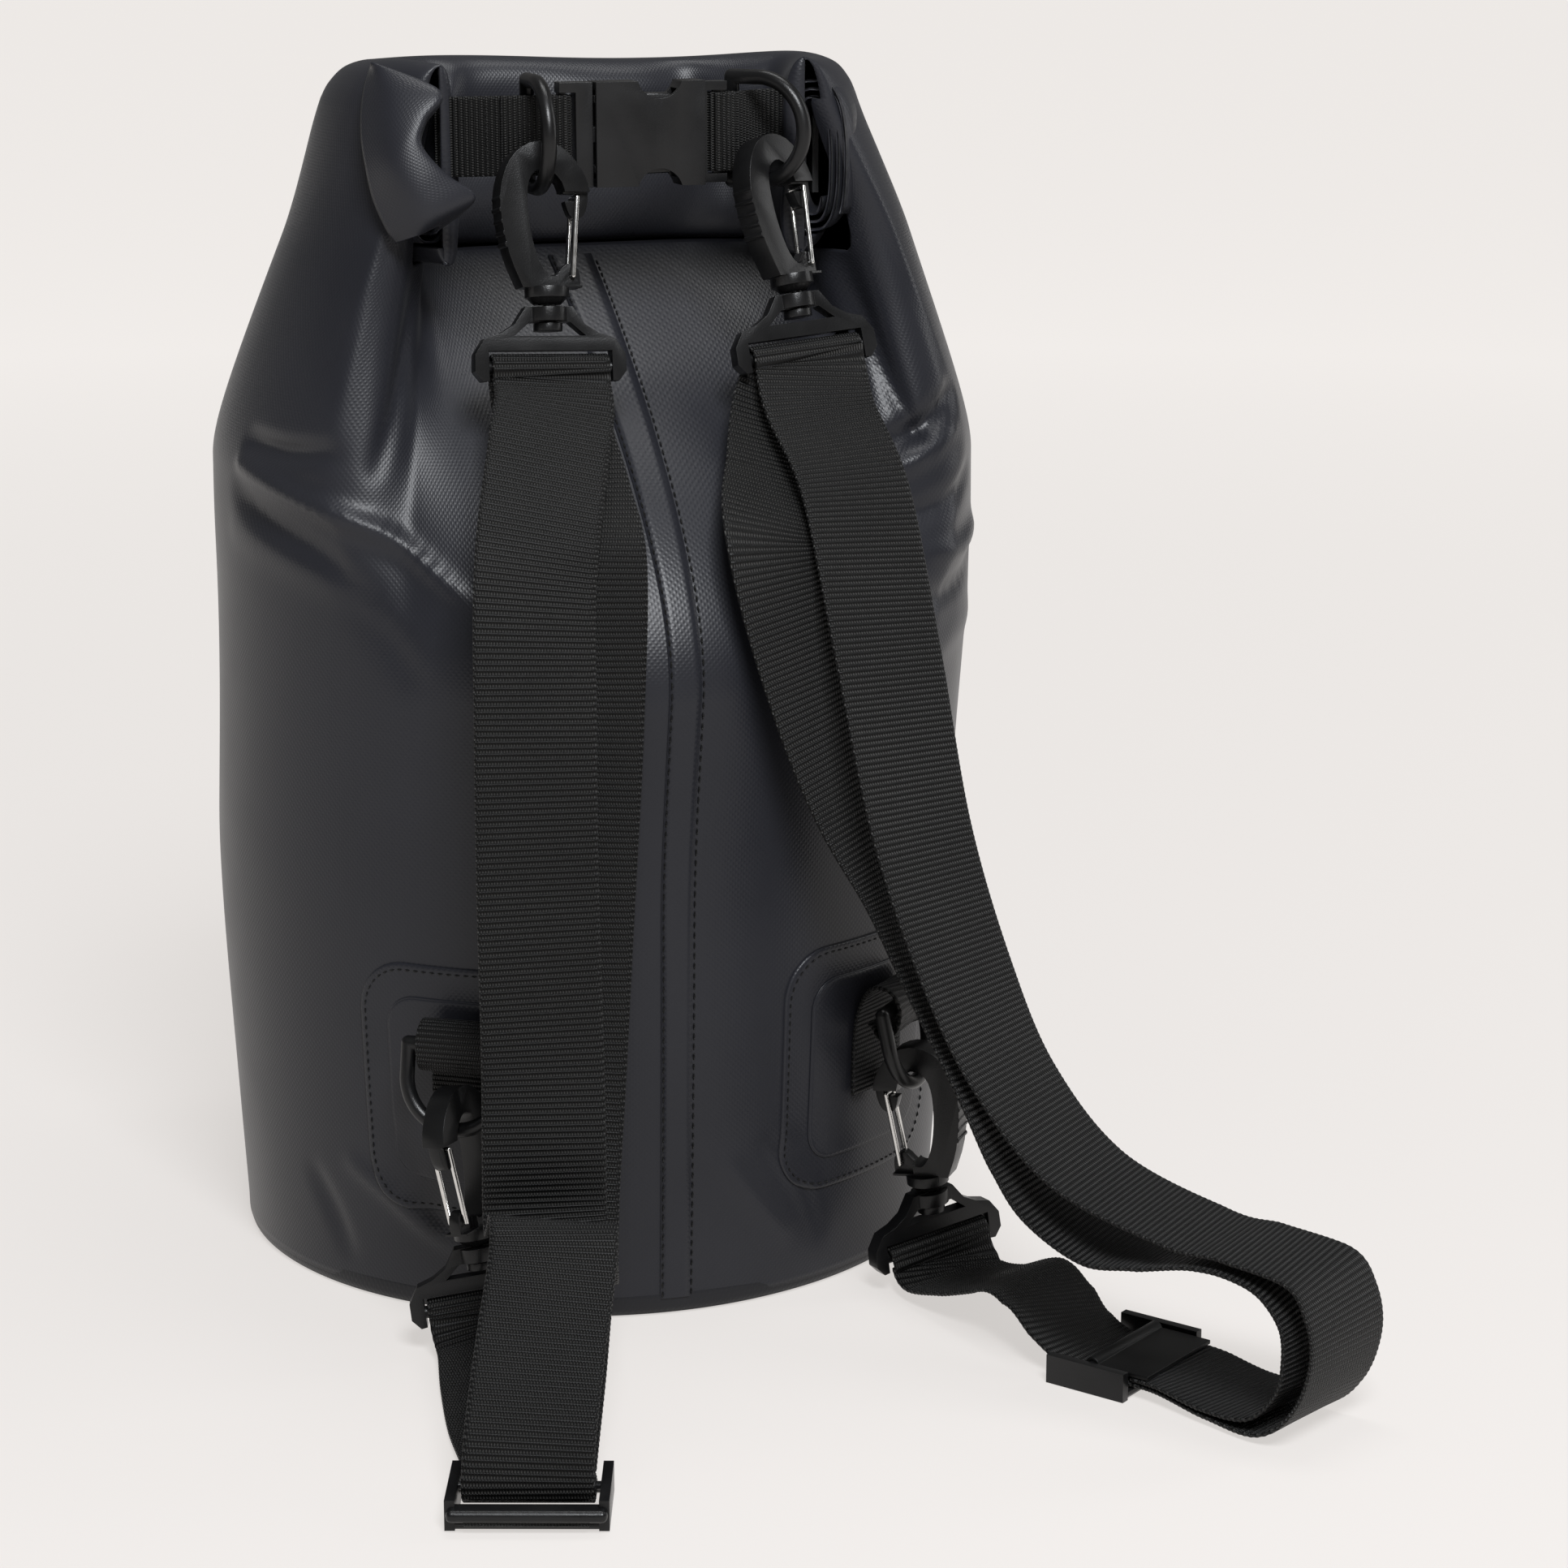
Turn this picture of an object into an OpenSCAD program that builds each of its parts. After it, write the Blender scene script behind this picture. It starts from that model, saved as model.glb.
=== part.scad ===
// Roll-top dry bag with two detachable, adjustable shoulder straps.
// Origin: centre of the base's underside. +X right, -Y towards the strap side, +Z up. Millimetres.

/* [Bag] */
// Radius of the tube at its fullest height
tube_r = 126; // [118:0.5:130]
// Radius of the tube at its base
base_r = 118; // [112:0.5:122]
// Thickness of the coated fabric shell
fabric_t = 1.6; // [1.2:0.1:2.5]
// Height where the rolled mouth starts
roll_z = 336; // [330:1:340]
// Height of the rolled mouth
roll_h = 62; // [56:1:64]

/* [Webbing] */
// Width of the shoulder webbing
strap_w = 38; // [36:0.5:39]
// Thickness of the shoulder webbing
strap_t = 1.4; // [1.2:0.1:1.6]
// Width of the closure webbing and of the lower tabs
tape_w = 25; // [22:0.5:26]

/* [Hardware] */
// Wire radius of the D-rings
ring_wire = 2.4; // [2:0.1:2.6]
// Half of the distance between the legs of a D-ring
ring_half = 16.5; // [16:0.5:17]
// Thickness of the snap hooks
hook_t = 8; // [7:0.5:9]
// Radius of the steel gate wire
gate_wire = 0.8; // [0.6:0.05:0.85]

/* [Hidden] */

fabric_color = [0.16, 0.165, 0.18];
web_color = [0.10, 0.10, 0.105];
plastic_color = [0.07, 0.07, 0.075];
steel_color = [0.75, 0.75, 0.74];
gap = 0.3;
tube_z = 3.4;
around = 48;

// ---- general functions ----
function unit(v) = v / norm(v);
function mix(a, b, s) = a * (1 - s) + b * s;
function ease(s) = let (c = min(max(s, 0), 1)) c * c * (3 - 2 * c);
function spline_at(p, i, s) =
    let (n = len(p) - 1, a = p[max(i - 1, 0)], b = p[i], c = p[min(i + 1, n)], d = p[min(i + 2, n)])
    0.5 * (2 * b + (c - a) * s + (2 * a - 5 * b + 4 * c - d) * s * s + (3 * b - a - 3 * c + d) * s * s * s);
function spline(p, steps) =
    concat([for (i = [0:len(p) - 2]) for (k = [0:steps - 1]) spline_at(p, i, k / steps)], [p[len(p) - 1]]);
function tangent(p, i) = unit(p[min(i + 1, len(p) - 1)] - p[max(i - 1, 0)]);

// Closes a stack of rings, each a list of the same number of points, into one solid
module ring_stack(rings) {
    n = len(rings[0]);
    last = len(rings) - 1;
    points = [for (ring = rings) each ring];
    sides = [for (i = [0:last - 1]) for (k = [0:n - 1]) let (j = (k + 1) % n)
        each [[i * n + k, i * n + j, (i + 1) * n + j], [i * n + k, (i + 1) * n + j, (i + 1) * n + k]]];
    caps = [[for (k = [n - 1:-1:0]) k], [for (k = [0:n - 1]) last * n + k]];
    polyhedron(points = points, faces = [for (f = concat(sides, caps)) [for (k = [len(f) - 1:-1:0]) f[k]]]);
}

// A flat strap along a route; every route point is [x, y, z, direction of the width in the plan, its rise]
function strap_rings(route, width, thick, steps) =
    let (mid = spline([for (r = route) [r[0], r[1], r[2]]], steps),
        turn = spline([for (r = route) [cos(r[3]) * cos(r[4]), sin(r[3]) * cos(r[4]), sin(r[4])]], steps))
    [for (i = [0:len(mid) - 1])
        let (t = tangent(mid, i), flat = unit(turn[i] - t * (turn[i] * t)), up = cross(t, flat),
            a = flat * width / 2, b = up * thick / 2)
        [mid[i] - a - b, mid[i] + a - b, mid[i] + a + b, mid[i] - a + b]];
module strap(route, width, thick, steps) {
    ring_stack(strap_rings(route, width, thick, steps));
}

// ---- bag shell ----
// Plan of the rolled mouth's centre line, from its left end round the back to its right end
mouth_route = [[-60, -58], [-71, -34], [-69, -4], [-45, 13], [0, 14], [45, 13], [71, -4], [72, -34], [60, -58]];
// The panel behind the roll runs round this many degrees, from the left pleat to the right one
back_share = 240;
shoulder_z = 225;
back_top = 386;
// Distance of the skin from the mouth's centre line, behind it and in front of it
behind = 14;
before = 11;
function mouth_mid(s) =
    let (n = len(mouth_route) - 1, u = min(max(s, 0), 0.9999) * n, i = floor(u))
    spline_at(mouth_route, i, u - i);
function mouth_out(s) =
    let (t = unit(mouth_mid(s + 0.01) - mouth_mid(s - 0.01))) [-t[1], t[0]];
// How far an angle is from the front panel: 0 on the panel, 1 from the pleats round the back
function behind_share(angle) = ease((abs((angle + 630) % 360 - 180) - 42) / 18);
function tube_radius(z) =
    z < 150 ? mix(base_r, tube_r, ease((z + 60) / 210)) : mix(tube_r, tube_r + 2, ease((z - 150) / 110));
function closing(angle, z) =
    let (w = behind_share(angle), from = mix(shoulder_z, 268, w), to = mix(roll_z, 398, w))
    z <= from ? 0 : pow(min((z - from) / (to - from), 1), mix(1.25, 1, w));
function lean(z) = 4 * ease((z - 130) / 110) * (1 - ease((z - 340) / 50));
function plan_at(angle, z) =
    let (a = (angle + 750) % 360, back = a < back_share, r = tube_radius(z), s = closing(angle, z),
        u = back ? 1 - a / back_share : (a - back_share) / (360 - back_share),
        m = mouth_mid(u) + mouth_out(u) * (back ? behind : -before) * pow(abs(sin(180 * u)), 0.35))
    mix([r * cos(angle), r * sin(angle)], m, s) + [lean(z), 0];
function skin(angle, z) = [each plan_at(angle, z), z];
// A point off the skin, along the skin's own direction
function tube_at(angle, z, out) =
    let (n = unit(cross(skin(angle + 1.5, z) - skin(angle - 1.5, z), skin(angle, z + 1) - skin(angle, z - 1))))
    skin(angle, z) + n * out;
tube_levels = [tube_z, 40, 80, 120, 160, 200, shoulder_z, 240, 255, 270, 285, 300, 315, 326, roll_z - gap];
// The back panel rises past the front one, up behind the roll
function level_at(angle, z) =
    z < shoulder_z || (angle + 750) % 360 > back_share ? z :
    shoulder_z + (z - shoulder_z) * (back_top - shoulder_z) / (roll_z - gap - shoulder_z);

module bag_tube() {
    n = around;
    rows = len(tube_levels);
    outer = [for (z = tube_levels) for (k = [0:n - 1]) skin(k * 360 / n, level_at(k * 360 / n, z))];
    inner = [for (z = tube_levels) for (k = [0:n - 1]) tube_at(k * 360 / n, level_at(k * 360 / n, z), -fabric_t)];
    skip = rows * n;
    walls = [for (i = [0:rows - 2]) for (k = [0:n - 1]) let (j = (k + 1) % n, a = i * n)
        each [[a + k, a + n + j, a + j], [a + k, a + n + k, a + n + j],
            [skip + a + k, skip + a + j, skip + a + n + j], [skip + a + k, skip + a + n + j, skip + a + n + k]]];
    top = (rows - 1) * n;
    rims = [for (k = [0:n - 1]) let (j = (k + 1) % n)
        each [[k, j, skip + j], [k, skip + j, skip + k],
            [top + k, skip + top + j, top + j], [top + k, skip + top + k, skip + top + j]]];
    color(fabric_color)
        polyhedron(points = concat(outer, inner), faces = concat(walls, rims));
}

module base_disc() {
    color(fabric_color)
        cylinder(r = base_r - fabric_t - 1, h = 3, $fn = 96);
}

module base_rim() {
    color(fabric_color)
        difference() {
            cylinder(r = base_r + 1, h = 3, $fn = 96);
            translate([0, 0, -1])
                cylinder(r = base_r - fabric_t - 0.9, h = 5, $fn = 96);
        }
}

// A raised sheet on the tube: an outline with round corners, measured round the tube and up it
module sheet(angle_c, z_c, half_w, half_h, low, high) {
    rings = 5;
    n = 32;
    function lobe(v) = sign(v) * pow(abs(v), 0.45);
    function at(k, i, off) =
        let (a = angle_c + lobe(cos(i * 360 / n)) * k / rings * half_w / tube_r * 57.3,
            z = z_c + lobe(sin(i * 360 / n)) * k / rings * half_h)
        tube_at(a, z, off);
    ring_stack(concat([for (k = [1:rings]) [for (i = [0:n - 1]) at(k - 0.98 * (k == 1 ? 1 : 0), i, low)]],
        [for (k = [rings:-1:1]) [for (i = [0:n - 1]) at(k - 0.98 * (k == 1 ? 1 : 0), i, high)]]));
}

seam_angle = 267.5;
module seam_strip() {
    levels = [for (z = tube_levels) if (z < 310) max(z, 12)];
    color(fabric_color)
        ring_stack([for (z = levels) [for (c = [[5, 0.4], [-5, 0.4], [-5, 1], [5, 1]])
            tube_at(seam_angle + c[0] / tube_r * 57.3, z, c[1])]]);
}

patch_angle = [237, 303];
patch_z = 77;
module patch_outer(side) {
    color(fabric_color)
        sheet(patch_angle[side], patch_z, 40, 42, 0.3, 1);
}
module patch_inner(side) {
    color(fabric_color)
        sheet(patch_angle[side], patch_z, 29, 31, 1.1, 1.8);
}

// Distance of the back panel from the mouth's centre line, behind the roll
function panel_reach(s, z) =
    let (p = plan_at(210 - back_share * s, min(z, back_top)), m = mouth_mid(s)) (p - m) * mouth_out(s);
module roll_top() {
    steps = 40;
    from = 0.065;
    // Inner turns of the roll, then its cap over the back panel: distance outward and height
    front = [[-9, 0], [-12, 10], [-12, 44], [-8, 57], [0, 62]];
    cap = [[0.6, 59.5], [1, 51]];
    inside = [[15, 49.8], [16, 25], [16, 4], [13, 0]];
    rows = [for (i = [0:steps])
        let (s = from + (1 - 2 * from) * i / steps, end = min(i, steps - i),
            fill = end == 0 ? 0.72 : end == 1 ? 0.9 : 1, m = mouth_mid(s), o = mouth_out(s),
            h = roll_h / 62, edge = panel_reach(s, back_top),
            turns = [for (p = front) [p[0] * fill, p[1]]],
            over = [for (p = cap) [p[0] * edge, p[1]]],
            under = [for (p = inside) [min(p[0] * fill, panel_reach(s, roll_z + p[1]) - fabric_t - 2), p[1]]])
        [for (p = concat(turns, over, under)) [each (m + o * p[0]), roll_z + p[1] * h]]];
    color(fabric_color)
        difference() {
            ring_stack([for (i = [steps:-1:0]) rows[i]]);
            stiffener(0.4);
        }
}

// Stiffening strip welded along the mouth, in the middle of the roll
module stiffener(grow) {
    steps = 16;
    rows = [for (i = [0:steps])
        let (s = 0.12 + 0.76 * i / steps, m = mouth_mid(s), o = mouth_out(s))
        [for (p = [[-1, 18], [1, 18], [1, 43], [-1, 43]])
            [each (m + o * (p[0] + sign(p[0]) * grow)), roll_z + p[1] + sign(p[1] - 30) * grow]]];
    ring_stack(rows);
}
module stiffener_strip() {
    color([0.25, 0.25, 0.26])
        stiffener(0);
}

// ---- D-rings ----
// Bar along X through the origin, bow towards -Z
bow_drop = 10;
module d_ring_shape() {
    for (side = [-1, 1]) {
        translate([side * ring_half, 0, -bow_drop])
            cylinder(r = ring_wire, h = bow_drop, $fn = 24);
        translate([side * ring_half, 0, 0])
            sphere(r = ring_wire, $fn = 24);
    }
    translate([-ring_half, 0, 0])
        rotate([0, 90, 0])
            cylinder(r = ring_wire, h = 2 * ring_half, $fn = 24);
    translate([0, 0, -bow_drop])
        rotate([90, 180, 0])
            rotate_extrude(angle = 180, $fn = 48)
                translate([ring_half, 0])
                    circle(r = ring_wire, $fn = 24);
}

// Bar centre and the turn of each D-ring: [bar centre, [turns about X, Y, Z]]
ring_top_left = [[-31, -53.2, 377], [-90, 90, 0]];
ring_top_right = [[37, -53.2, 377], [-90, 90, 42]];
ring_low_left = [[-74.6, -114.9, 97], [-12, 0, -33]];
ring_low_right = [[74.6, -114.9, 97], [-12, 0, 48]];
module d_ring(spec) {
    color(plastic_color)
        translate(spec[0])
            rotate(spec[1])
                d_ring_shape();
}

// Tab of closure webbing: sewn flat to its patch below, looped round the D-ring's bar above
module tab(side) {
    a = patch_angle[side];
    out = [cos(a), sin(a)];
    skew = side == 1 ? 15 : 0;
    bar_r = 137;
    // Route: distance from the bag's axis, height, and the turn of the width
    path = [[bar_r - 5.4, 91, 0.6], [bar_r - 1.5, 88.6, 1], [bar_r + 3.2, 91.2, 1], [bar_r + 5, 97, 1],
        [bar_r + 3, 102.2, 1], [bar_r - 2, 104.2, 0.9], [bar_r - 7, 102, 0.6], [127.6, 94, 0.2],
        [126.8, 84, 0], [126.4, 66, 0]];
    color(web_color)
        strap([for (p = path) [out[0] * p[0], out[1] * p[0], p[1], a + 90 + skew * p[2], 0]], tape_w, 1.3, 3);
}

// ---- snap hooks ----
// Local frame: X towards the gate, Z up the swivel axis, origin at the strap loop's lower bar
hook_outline = [[-9, 24.6], [-13.2, 35.3], [-15.6, 49.8], [-14.2, 59.5], [-10, 66.6], [-3, 70.2], [5, 68.6],
    [11.5, 62], [14.2, 54.5], [12.6, 47.4], [8.6, 46.8], [6.6, 51], [5, 57.5], [0, 61.8], [-5, 59.5],
    [-6.6, 53], [-6, 43], [-3.8, 33.8], [-0.6, 28.6], [2.6, 28.6], [6.4, 32.2], [10.2, 30.4], [10.6, 24.6]];
gate_foot = [8, 28.4];
gate_tip = [10.2, 53];
module hook_solid() {
    difference() {
        union() {
            rotate([90, 0, 0])
                linear_extrude(height = hook_t, center = true)
                    polygon(spline(hook_outline, 3));
            translate([0, 0, 21.6])
                cylinder(r = 7, h = 3.4, $fn = 32);
            translate([0, 0, 19.5])
                cylinder(r1 = 4.4, r2 = 6.6, h = 2.2, $fn = 32);
            translate([0, 0, 12])
                cylinder(r = 2.8, h = 8, $fn = 32);
            translate([0, 0, 11.2])
                cylinder(r = 4.6, h = 2.4, $fn = 32);
            for (z = [38:3.6:54])
                translate([-15.2 + abs(z - 50) * 0.14, 0, z])
                    rotate([90, 0, 0])
                        cylinder(r = 0.9, h = hook_t, center = true, $fn = 16);
        }
        // room for the gate wire on both faces
        for (side = [-1, 1])
            translate([3.2, side > 0 ? 1.9 : -1.9 - hook_t, 25.4])
                cube([13, hook_t, 29.2]);
        // slot where the gate's cross bar rests
        translate([2, -hook_t, gate_tip[1] - 1.2])
            cube([gate_tip[0] - 2 + 1.1, 2 * hook_t, 2.4]);
        // hole for the gate's hinge ends
        translate([gate_foot[0], 0, gate_foot[1]])
            rotate([90, 0, 0])
                cylinder(r = gate_wire + 0.06, h = 2 * hook_t, center = true, $fn = 24);
    }
}
module wire(a, b) {
    v = b - a;
    translate(a)
        rotate([0, acos(v[2] / norm(v)), atan2(v[1], v[0])])
            cylinder(r = gate_wire, h = norm(v), $fn = 20);
}
module gate_solid() {
    reach = 1.9 + 0.3 + gate_wire;
    foot = [gate_foot[0], 0, gate_foot[1]];
    tip = [gate_tip[0], 0, gate_tip[1]];
    for (side = [-1, 1]) {
        across = [0, side * reach, 0];
        wire(foot + across, tip + across);
        wire(foot + [0, side * 0.4, 0], foot + across);
        for (corner = [foot, tip])
            translate(corner + across)
                sphere(r = gate_wire, $fn = 20);
    }
    wire(tip - [0, reach, 0], tip + [0, reach, 0]);
}
loop_outline = [[0, 19.2], [7.6, 18.8], [11.4, 13.2], [16, 10.4], [21.2, 8.8], [24.4, 4], [24.6, -1.4], [22, -4.6],
    [0, -2.2], [-22, -4.6], [-24.6, -1.4], [-24.4, 4], [-21.2, 8.8], [-16, 10.4], [-11.4, 13.2], [-7.6, 18.8]];
module strap_loop_solid() {
    difference() {
        union() {
            rotate([90, 0, 0])
                linear_extrude(height = 5.4, center = true)
                    polygon([for (p = loop_outline) p]);
            translate([0, 0, 14.2])
                cylinder(r = 6.2, h = 4.4, $fn = 32);
        }
        // triangular window above the crossbar
        rotate([90, 0, 0])
            linear_extrude(height = 14, center = true)
                polygon([[-11.6, 9.6], [11.6, 9.6], [6.6, 13.9], [-6.6, 13.9]]);
        // slot for the webbing
        rotate([90, 0, 0])
            linear_extrude(height = 14, center = true)
                polygon([[-20, 5], [20, 5], [20, -8], [-20, -8]]);
        translate([0, 0, 10])
            cylinder(r = 3.2, h = 12, $fn = 32);
    }
    translate([-20.6, 0, 0])
        rotate([0, 90, 0])
            cylinder(r = 2, h = 41.2, $fn = 24);
}

// Place of each hook: [loop bar centre, [lean about X, lean about Y], turn of the loop, turn of the hook]
place_top_left = [[-32.5, -81.2, 306.2], [-12, 2], 0, 4];
place_top_right = [[53, -79, 307.2], [-15, -6], 6, 30];
place_low_left = [[-70, -128.8, 16.1], [-8.2, -7.4], -14, 225];
place_low_right = [[86, -118.2, 13.8], [-0.4, -7.1], 12, 138];
// The same placing for a single point, and for the width of the webbing that lies in the strap loop
function turn_x(p, a) = [p[0], p[1] * cos(a) - p[2] * sin(a), p[1] * sin(a) + p[2] * cos(a)];
function turn_y(p, a) = [p[0] * cos(a) + p[2] * sin(a), p[1], p[2] * cos(a) - p[0] * sin(a)];
function turn_z(p, a) = [p[0] * cos(a) - p[1] * sin(a), p[0] * sin(a) + p[1] * cos(a), p[2]];
function loop_dir(place, p) = turn_y(turn_x(turn_z(p, place[2]), place[1][0]), place[1][1]);
function in_loop(place, y, z) =
    let (p = place[0] + loop_dir(place, [0, y, z]), w = loop_dir(place, [1, 0, 0]))
    [each p, atan2(w[1], w[0]), asin(w[2])];
// Half a turn of webbing round a strap loop's bar, from its front face over the bar to its back face
function wrap(place) =
    [for (c = [[-3.1, -5], [-3.4, -1], [-2.7, 2.1], [0, 3.5], [2.7, 2.1], [3.4, -1], [3.1, -5]]) in_loop(place, c[0], c[1])];
module at_hook(place, turn) {
    translate(place[0])
        rotate([place[1][0], place[1][1], 0])
            rotate([0, 0, turn])
                children();
}
module hook(place) {
    color(plastic_color)
        at_hook(place, place[3])
            hook_solid();
}
module gate(place) {
    color(steel_color)
        at_hook(place, place[3])
            gate_solid();
}
module strap_loop(place) {
    color(plastic_color)
        at_hook(place, place[2])
            strap_loop_solid();
}

// ---- shoulder straps ----
// Route points: x, y, z, direction of the width in the plan, rise of the width, all in mm and degrees.
// Each strap runs: sewn at the lower loop, through the slider, up to the upper loop, round its bar and
// down again to the slider.
route_right = concat(
    [in_loop(place_low_right, 3.3, -1), in_loop(place_low_right, 2.6, 2.1), in_loop(place_low_right, 0, 3.4),
        in_loop(place_low_right, -2.8, 2.1), in_loop(place_low_right, -4, -1.4), in_loop(place_low_right, -4.9, -5.4)],
    [[88, -131, 6, 16, 4], [91.6, -146, 9.6, 24, 0], [97.6, -166, 17.5, 32, 0],
    [101.2, -180, 15.5, 34.8, 0], [104.2, -191.4, 9.8, 34.8, 0], [109.3, -201.3, 4.9, 34.8, 0],
    [115, -209.5, 4.4, 34.8, 0], [127.5, -227.5, 4.4, 34.8, 0], [137, -249, 2.6, 32, 0], [145.4, -267.5, 3.4, 29.4, 0],
    [152.7, -276.2, 14, 29.4, 0], [155.8, -279.9, 30, 29.4, 0], [154.4, -278.2, 43.3, 29.4, 0],
    [149.6, -272.4, 52.6, 29.4, 0], [136, -256.3, 56.2, 29.4, 0], [123.4, -241.3, 57.6, 29.4, 0],
    [99.8, -213.2, 69.2, 29.4, 0], [83.5, -193.8, 93.6, 28, 0], [72.4, -179.6, 125, 22, 0], [63.4, -162, 168, 16, 0],
    [59, -141.8, 222, 10, 0], [57.4, -116, 268, 8, 2], [53.6, -93, 291, 6, 4]],
    wrap(place_top_right),
    [[46.2, -84, 289, 8, 2], [38, -102, 272, 10, 0], [30, -124, 252, 12, 0], [39, -134, 210, 12, 0],
    [52.4, -140, 171.7, 14, 0], [63.9, -150.7, 145.2, 18, 0], [70.4, -165.5, 121.8, 24, 0],
    [79.6, -188.4, 91, 28, 0], [86.9, -197.4, 70, 29.4, 0], [94.1, -206, 56.2, 29.4, 0], [106.1, -220.4, 46.6, 29.4, 0],
    [116.9, -233.5, 47.4, 29.4, 0], [129.3, -248.4, 51.4, 29.4, 0], [137.8, -258.5, 51.2, 29.4, 0],
    [144.5, -266.5, 47.4, 29.4, 0], [149.2, -272, 38.6, 29.4, 0], [150, -273, 27.6, 29.4, 0],
    [148.6, -271.4, 17, 29.4, 0], [143.4, -263.6, 7.2, 29.4, 0], [136, -248, 5, 32, 0], [128.5, -231, 6.3, 34.8, 0],
    [124, -222.4, 6.3, 34.8, 0]]);
route_left = concat(
    [in_loop(place_low_left, 3.3, -1), in_loop(place_low_left, 2.6, 2.1), in_loop(place_low_left, 0, 3.4),
        in_loop(place_low_left, -2.8, 2.1), in_loop(place_low_left, -4, -1.4), in_loop(place_low_left, -4.9, -5.4)],
    [[-70.4, -142, 5.4, -14, 3], [-75, -165, 2.2, -14, 0],
    [-80, -195, 1.6, -15, 0], [-83, -222, 3.2, -16, 0], [-85.7, -241, 4.65, -18.8, 0], [-89, -252, 4.65, -18.8, 0],
    [-90.5, -256.2, 5.4, -18.8, 0], [-91.5, -259, 8.4, -18.8, 0], [-91.3, -258.4, 14, -18.8, 0],
    [-88.6, -252, 25, -18.8, 0], [-79.5, -231, 43, -19, -2], [-71, -212.6, 58.8, -20, -3],
    [-68, -204, 66, -21, -4], [-66.5, -196, 66, -21, -4], [-65, -187, 59, -20, -3], [-63.5, -178.6, 56, -17, -2],
    [-62.5, -173, 63, -12, 0], [-62, -171.4, 78, -8, 0], [-60, -164, 108, -4, 0], [-58.6, -156, 157, -2, 0],
    [-56.4, -148, 205, -2, 0], [-52, -134, 250, -1, 0], [-40, -107, 284, 0, -1], [-34.2, -93, 295.6, 0, -2]],
    wrap(place_top_left),
    [[-33, -86, 290, 2, -1], [-32.4, -106, 272, 4, 0], [-33, -127, 250, 6, 0], [-36.5, -134, 200, 6, 0],
    [-42, -141, 150, 4, 0], [-47.5, -147.6, 100, 0, 0], [-53, -156, 66, -8, 0], [-57, -166, 46, -14, -2],
    [-60.4, -178, 41, -18, -3], [-63.4, -188.5, 46, -20, -4], [-66, -197, 54, -21, -4], [-69, -205, 53, -21, -4],
    [-73, -214, 45, -20, -2], [-78.4, -227, 32, -19, 0], [-84, -239, 18, -18.8, 0], [-87.2, -246.4, 11, -18.8, 0]]);
module shoulder_strap(route) {
    color(web_color)
        strap(route, strap_w, strap_t, 3);
}

// ---- sliders ----
// Local frame: X along the bars, Y along the webbing, Z up; the webbing runs straight at z = 0
slider_bar = 1.6;
centre_rise = 3.5;
end_drop = 2.6;
slider_span = 47;
module slider_solid() {
    for (end = [-1, 1]) {
        translate([-slider_span / 2 + 2, end * 12.4, -end_drop])
            rotate([0, 90, 0])
                cylinder(r = slider_bar, h = slider_span - 4, $fn = 24);
        translate([end * (slider_span / 2 - 1.5), 0, 0.4])
            cube([3, 28, 9.2], center = true);
    }
    translate([-slider_span / 2 + 2, 0, centre_rise])
        rotate([0, 90, 0])
            cylinder(r = slider_bar - 0.3, h = slider_span - 4, $fn = 24);
}
// The webbing's end, folded round the slider's centre bar and stitched to itself
module sewn_end_solid(flap) {
    difference() {
        union() {
            translate([-strap_w / 2, 0, centre_rise])
                rotate([0, 90, 0])
                    cylinder(r = 2.5, h = strap_w, $fn = 24);
            translate([-strap_w / 2, -flap, centre_rise - 0.6])
                cube([strap_w, flap, 1.4]);
        }
        translate([-strap_w / 2 - 1, 0, centre_rise])
            rotate([0, 90, 0])
                cylinder(r = slider_bar - 0.2, h = strap_w + 2, $fn = 24);
    }
}
slider_place_right = [[115, -209.5, 4.4], [0, 0, 34.8]];
slider_place_left = [[-89, -252, 4.6], [0, 0, -18.8]];
module slider(place) {
    color(plastic_color)
        translate(place[0])
            rotate(place[1])
                slider_solid();
}
module sewn_end(place, flap) {
    color(web_color)
        translate(place[0])
            rotate(place[1])
                sewn_end_solid(flap);
}

// ---- closure ----
closure_z = 376.5;
closure_y = -58;
// Routes of the closure webbing: from inside the roll's end to the buckle, round its end bar and back on itself
web_left = [[-61, -53.4], [-54, -56.2], [-42, -56.8], [-31, -56.7], [-24, -55.5], [-20.4, -55.6], [-18.3, -58],
    [-20.4, -60.4], [-24, -60.4], [-28, -59.4], [-33, -58.5], [-41, -58.5]];
web_right = [[60, -49.2], [53, -49.5], [46, -51.3], [40.4, -55.1], [36.2, -57.1], [33.4, -55.6], [29.4, -55.6], [27.3, -58],
    [29.4, -60.4], [32.4, -60.4], [36, -59.6]];
module closure_web(route) {
    color(web_color)
        strap([for (p = route) [p[0], p[1], closure_z, 90, 90]], tape_w, 1.4, 3);
}
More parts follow.
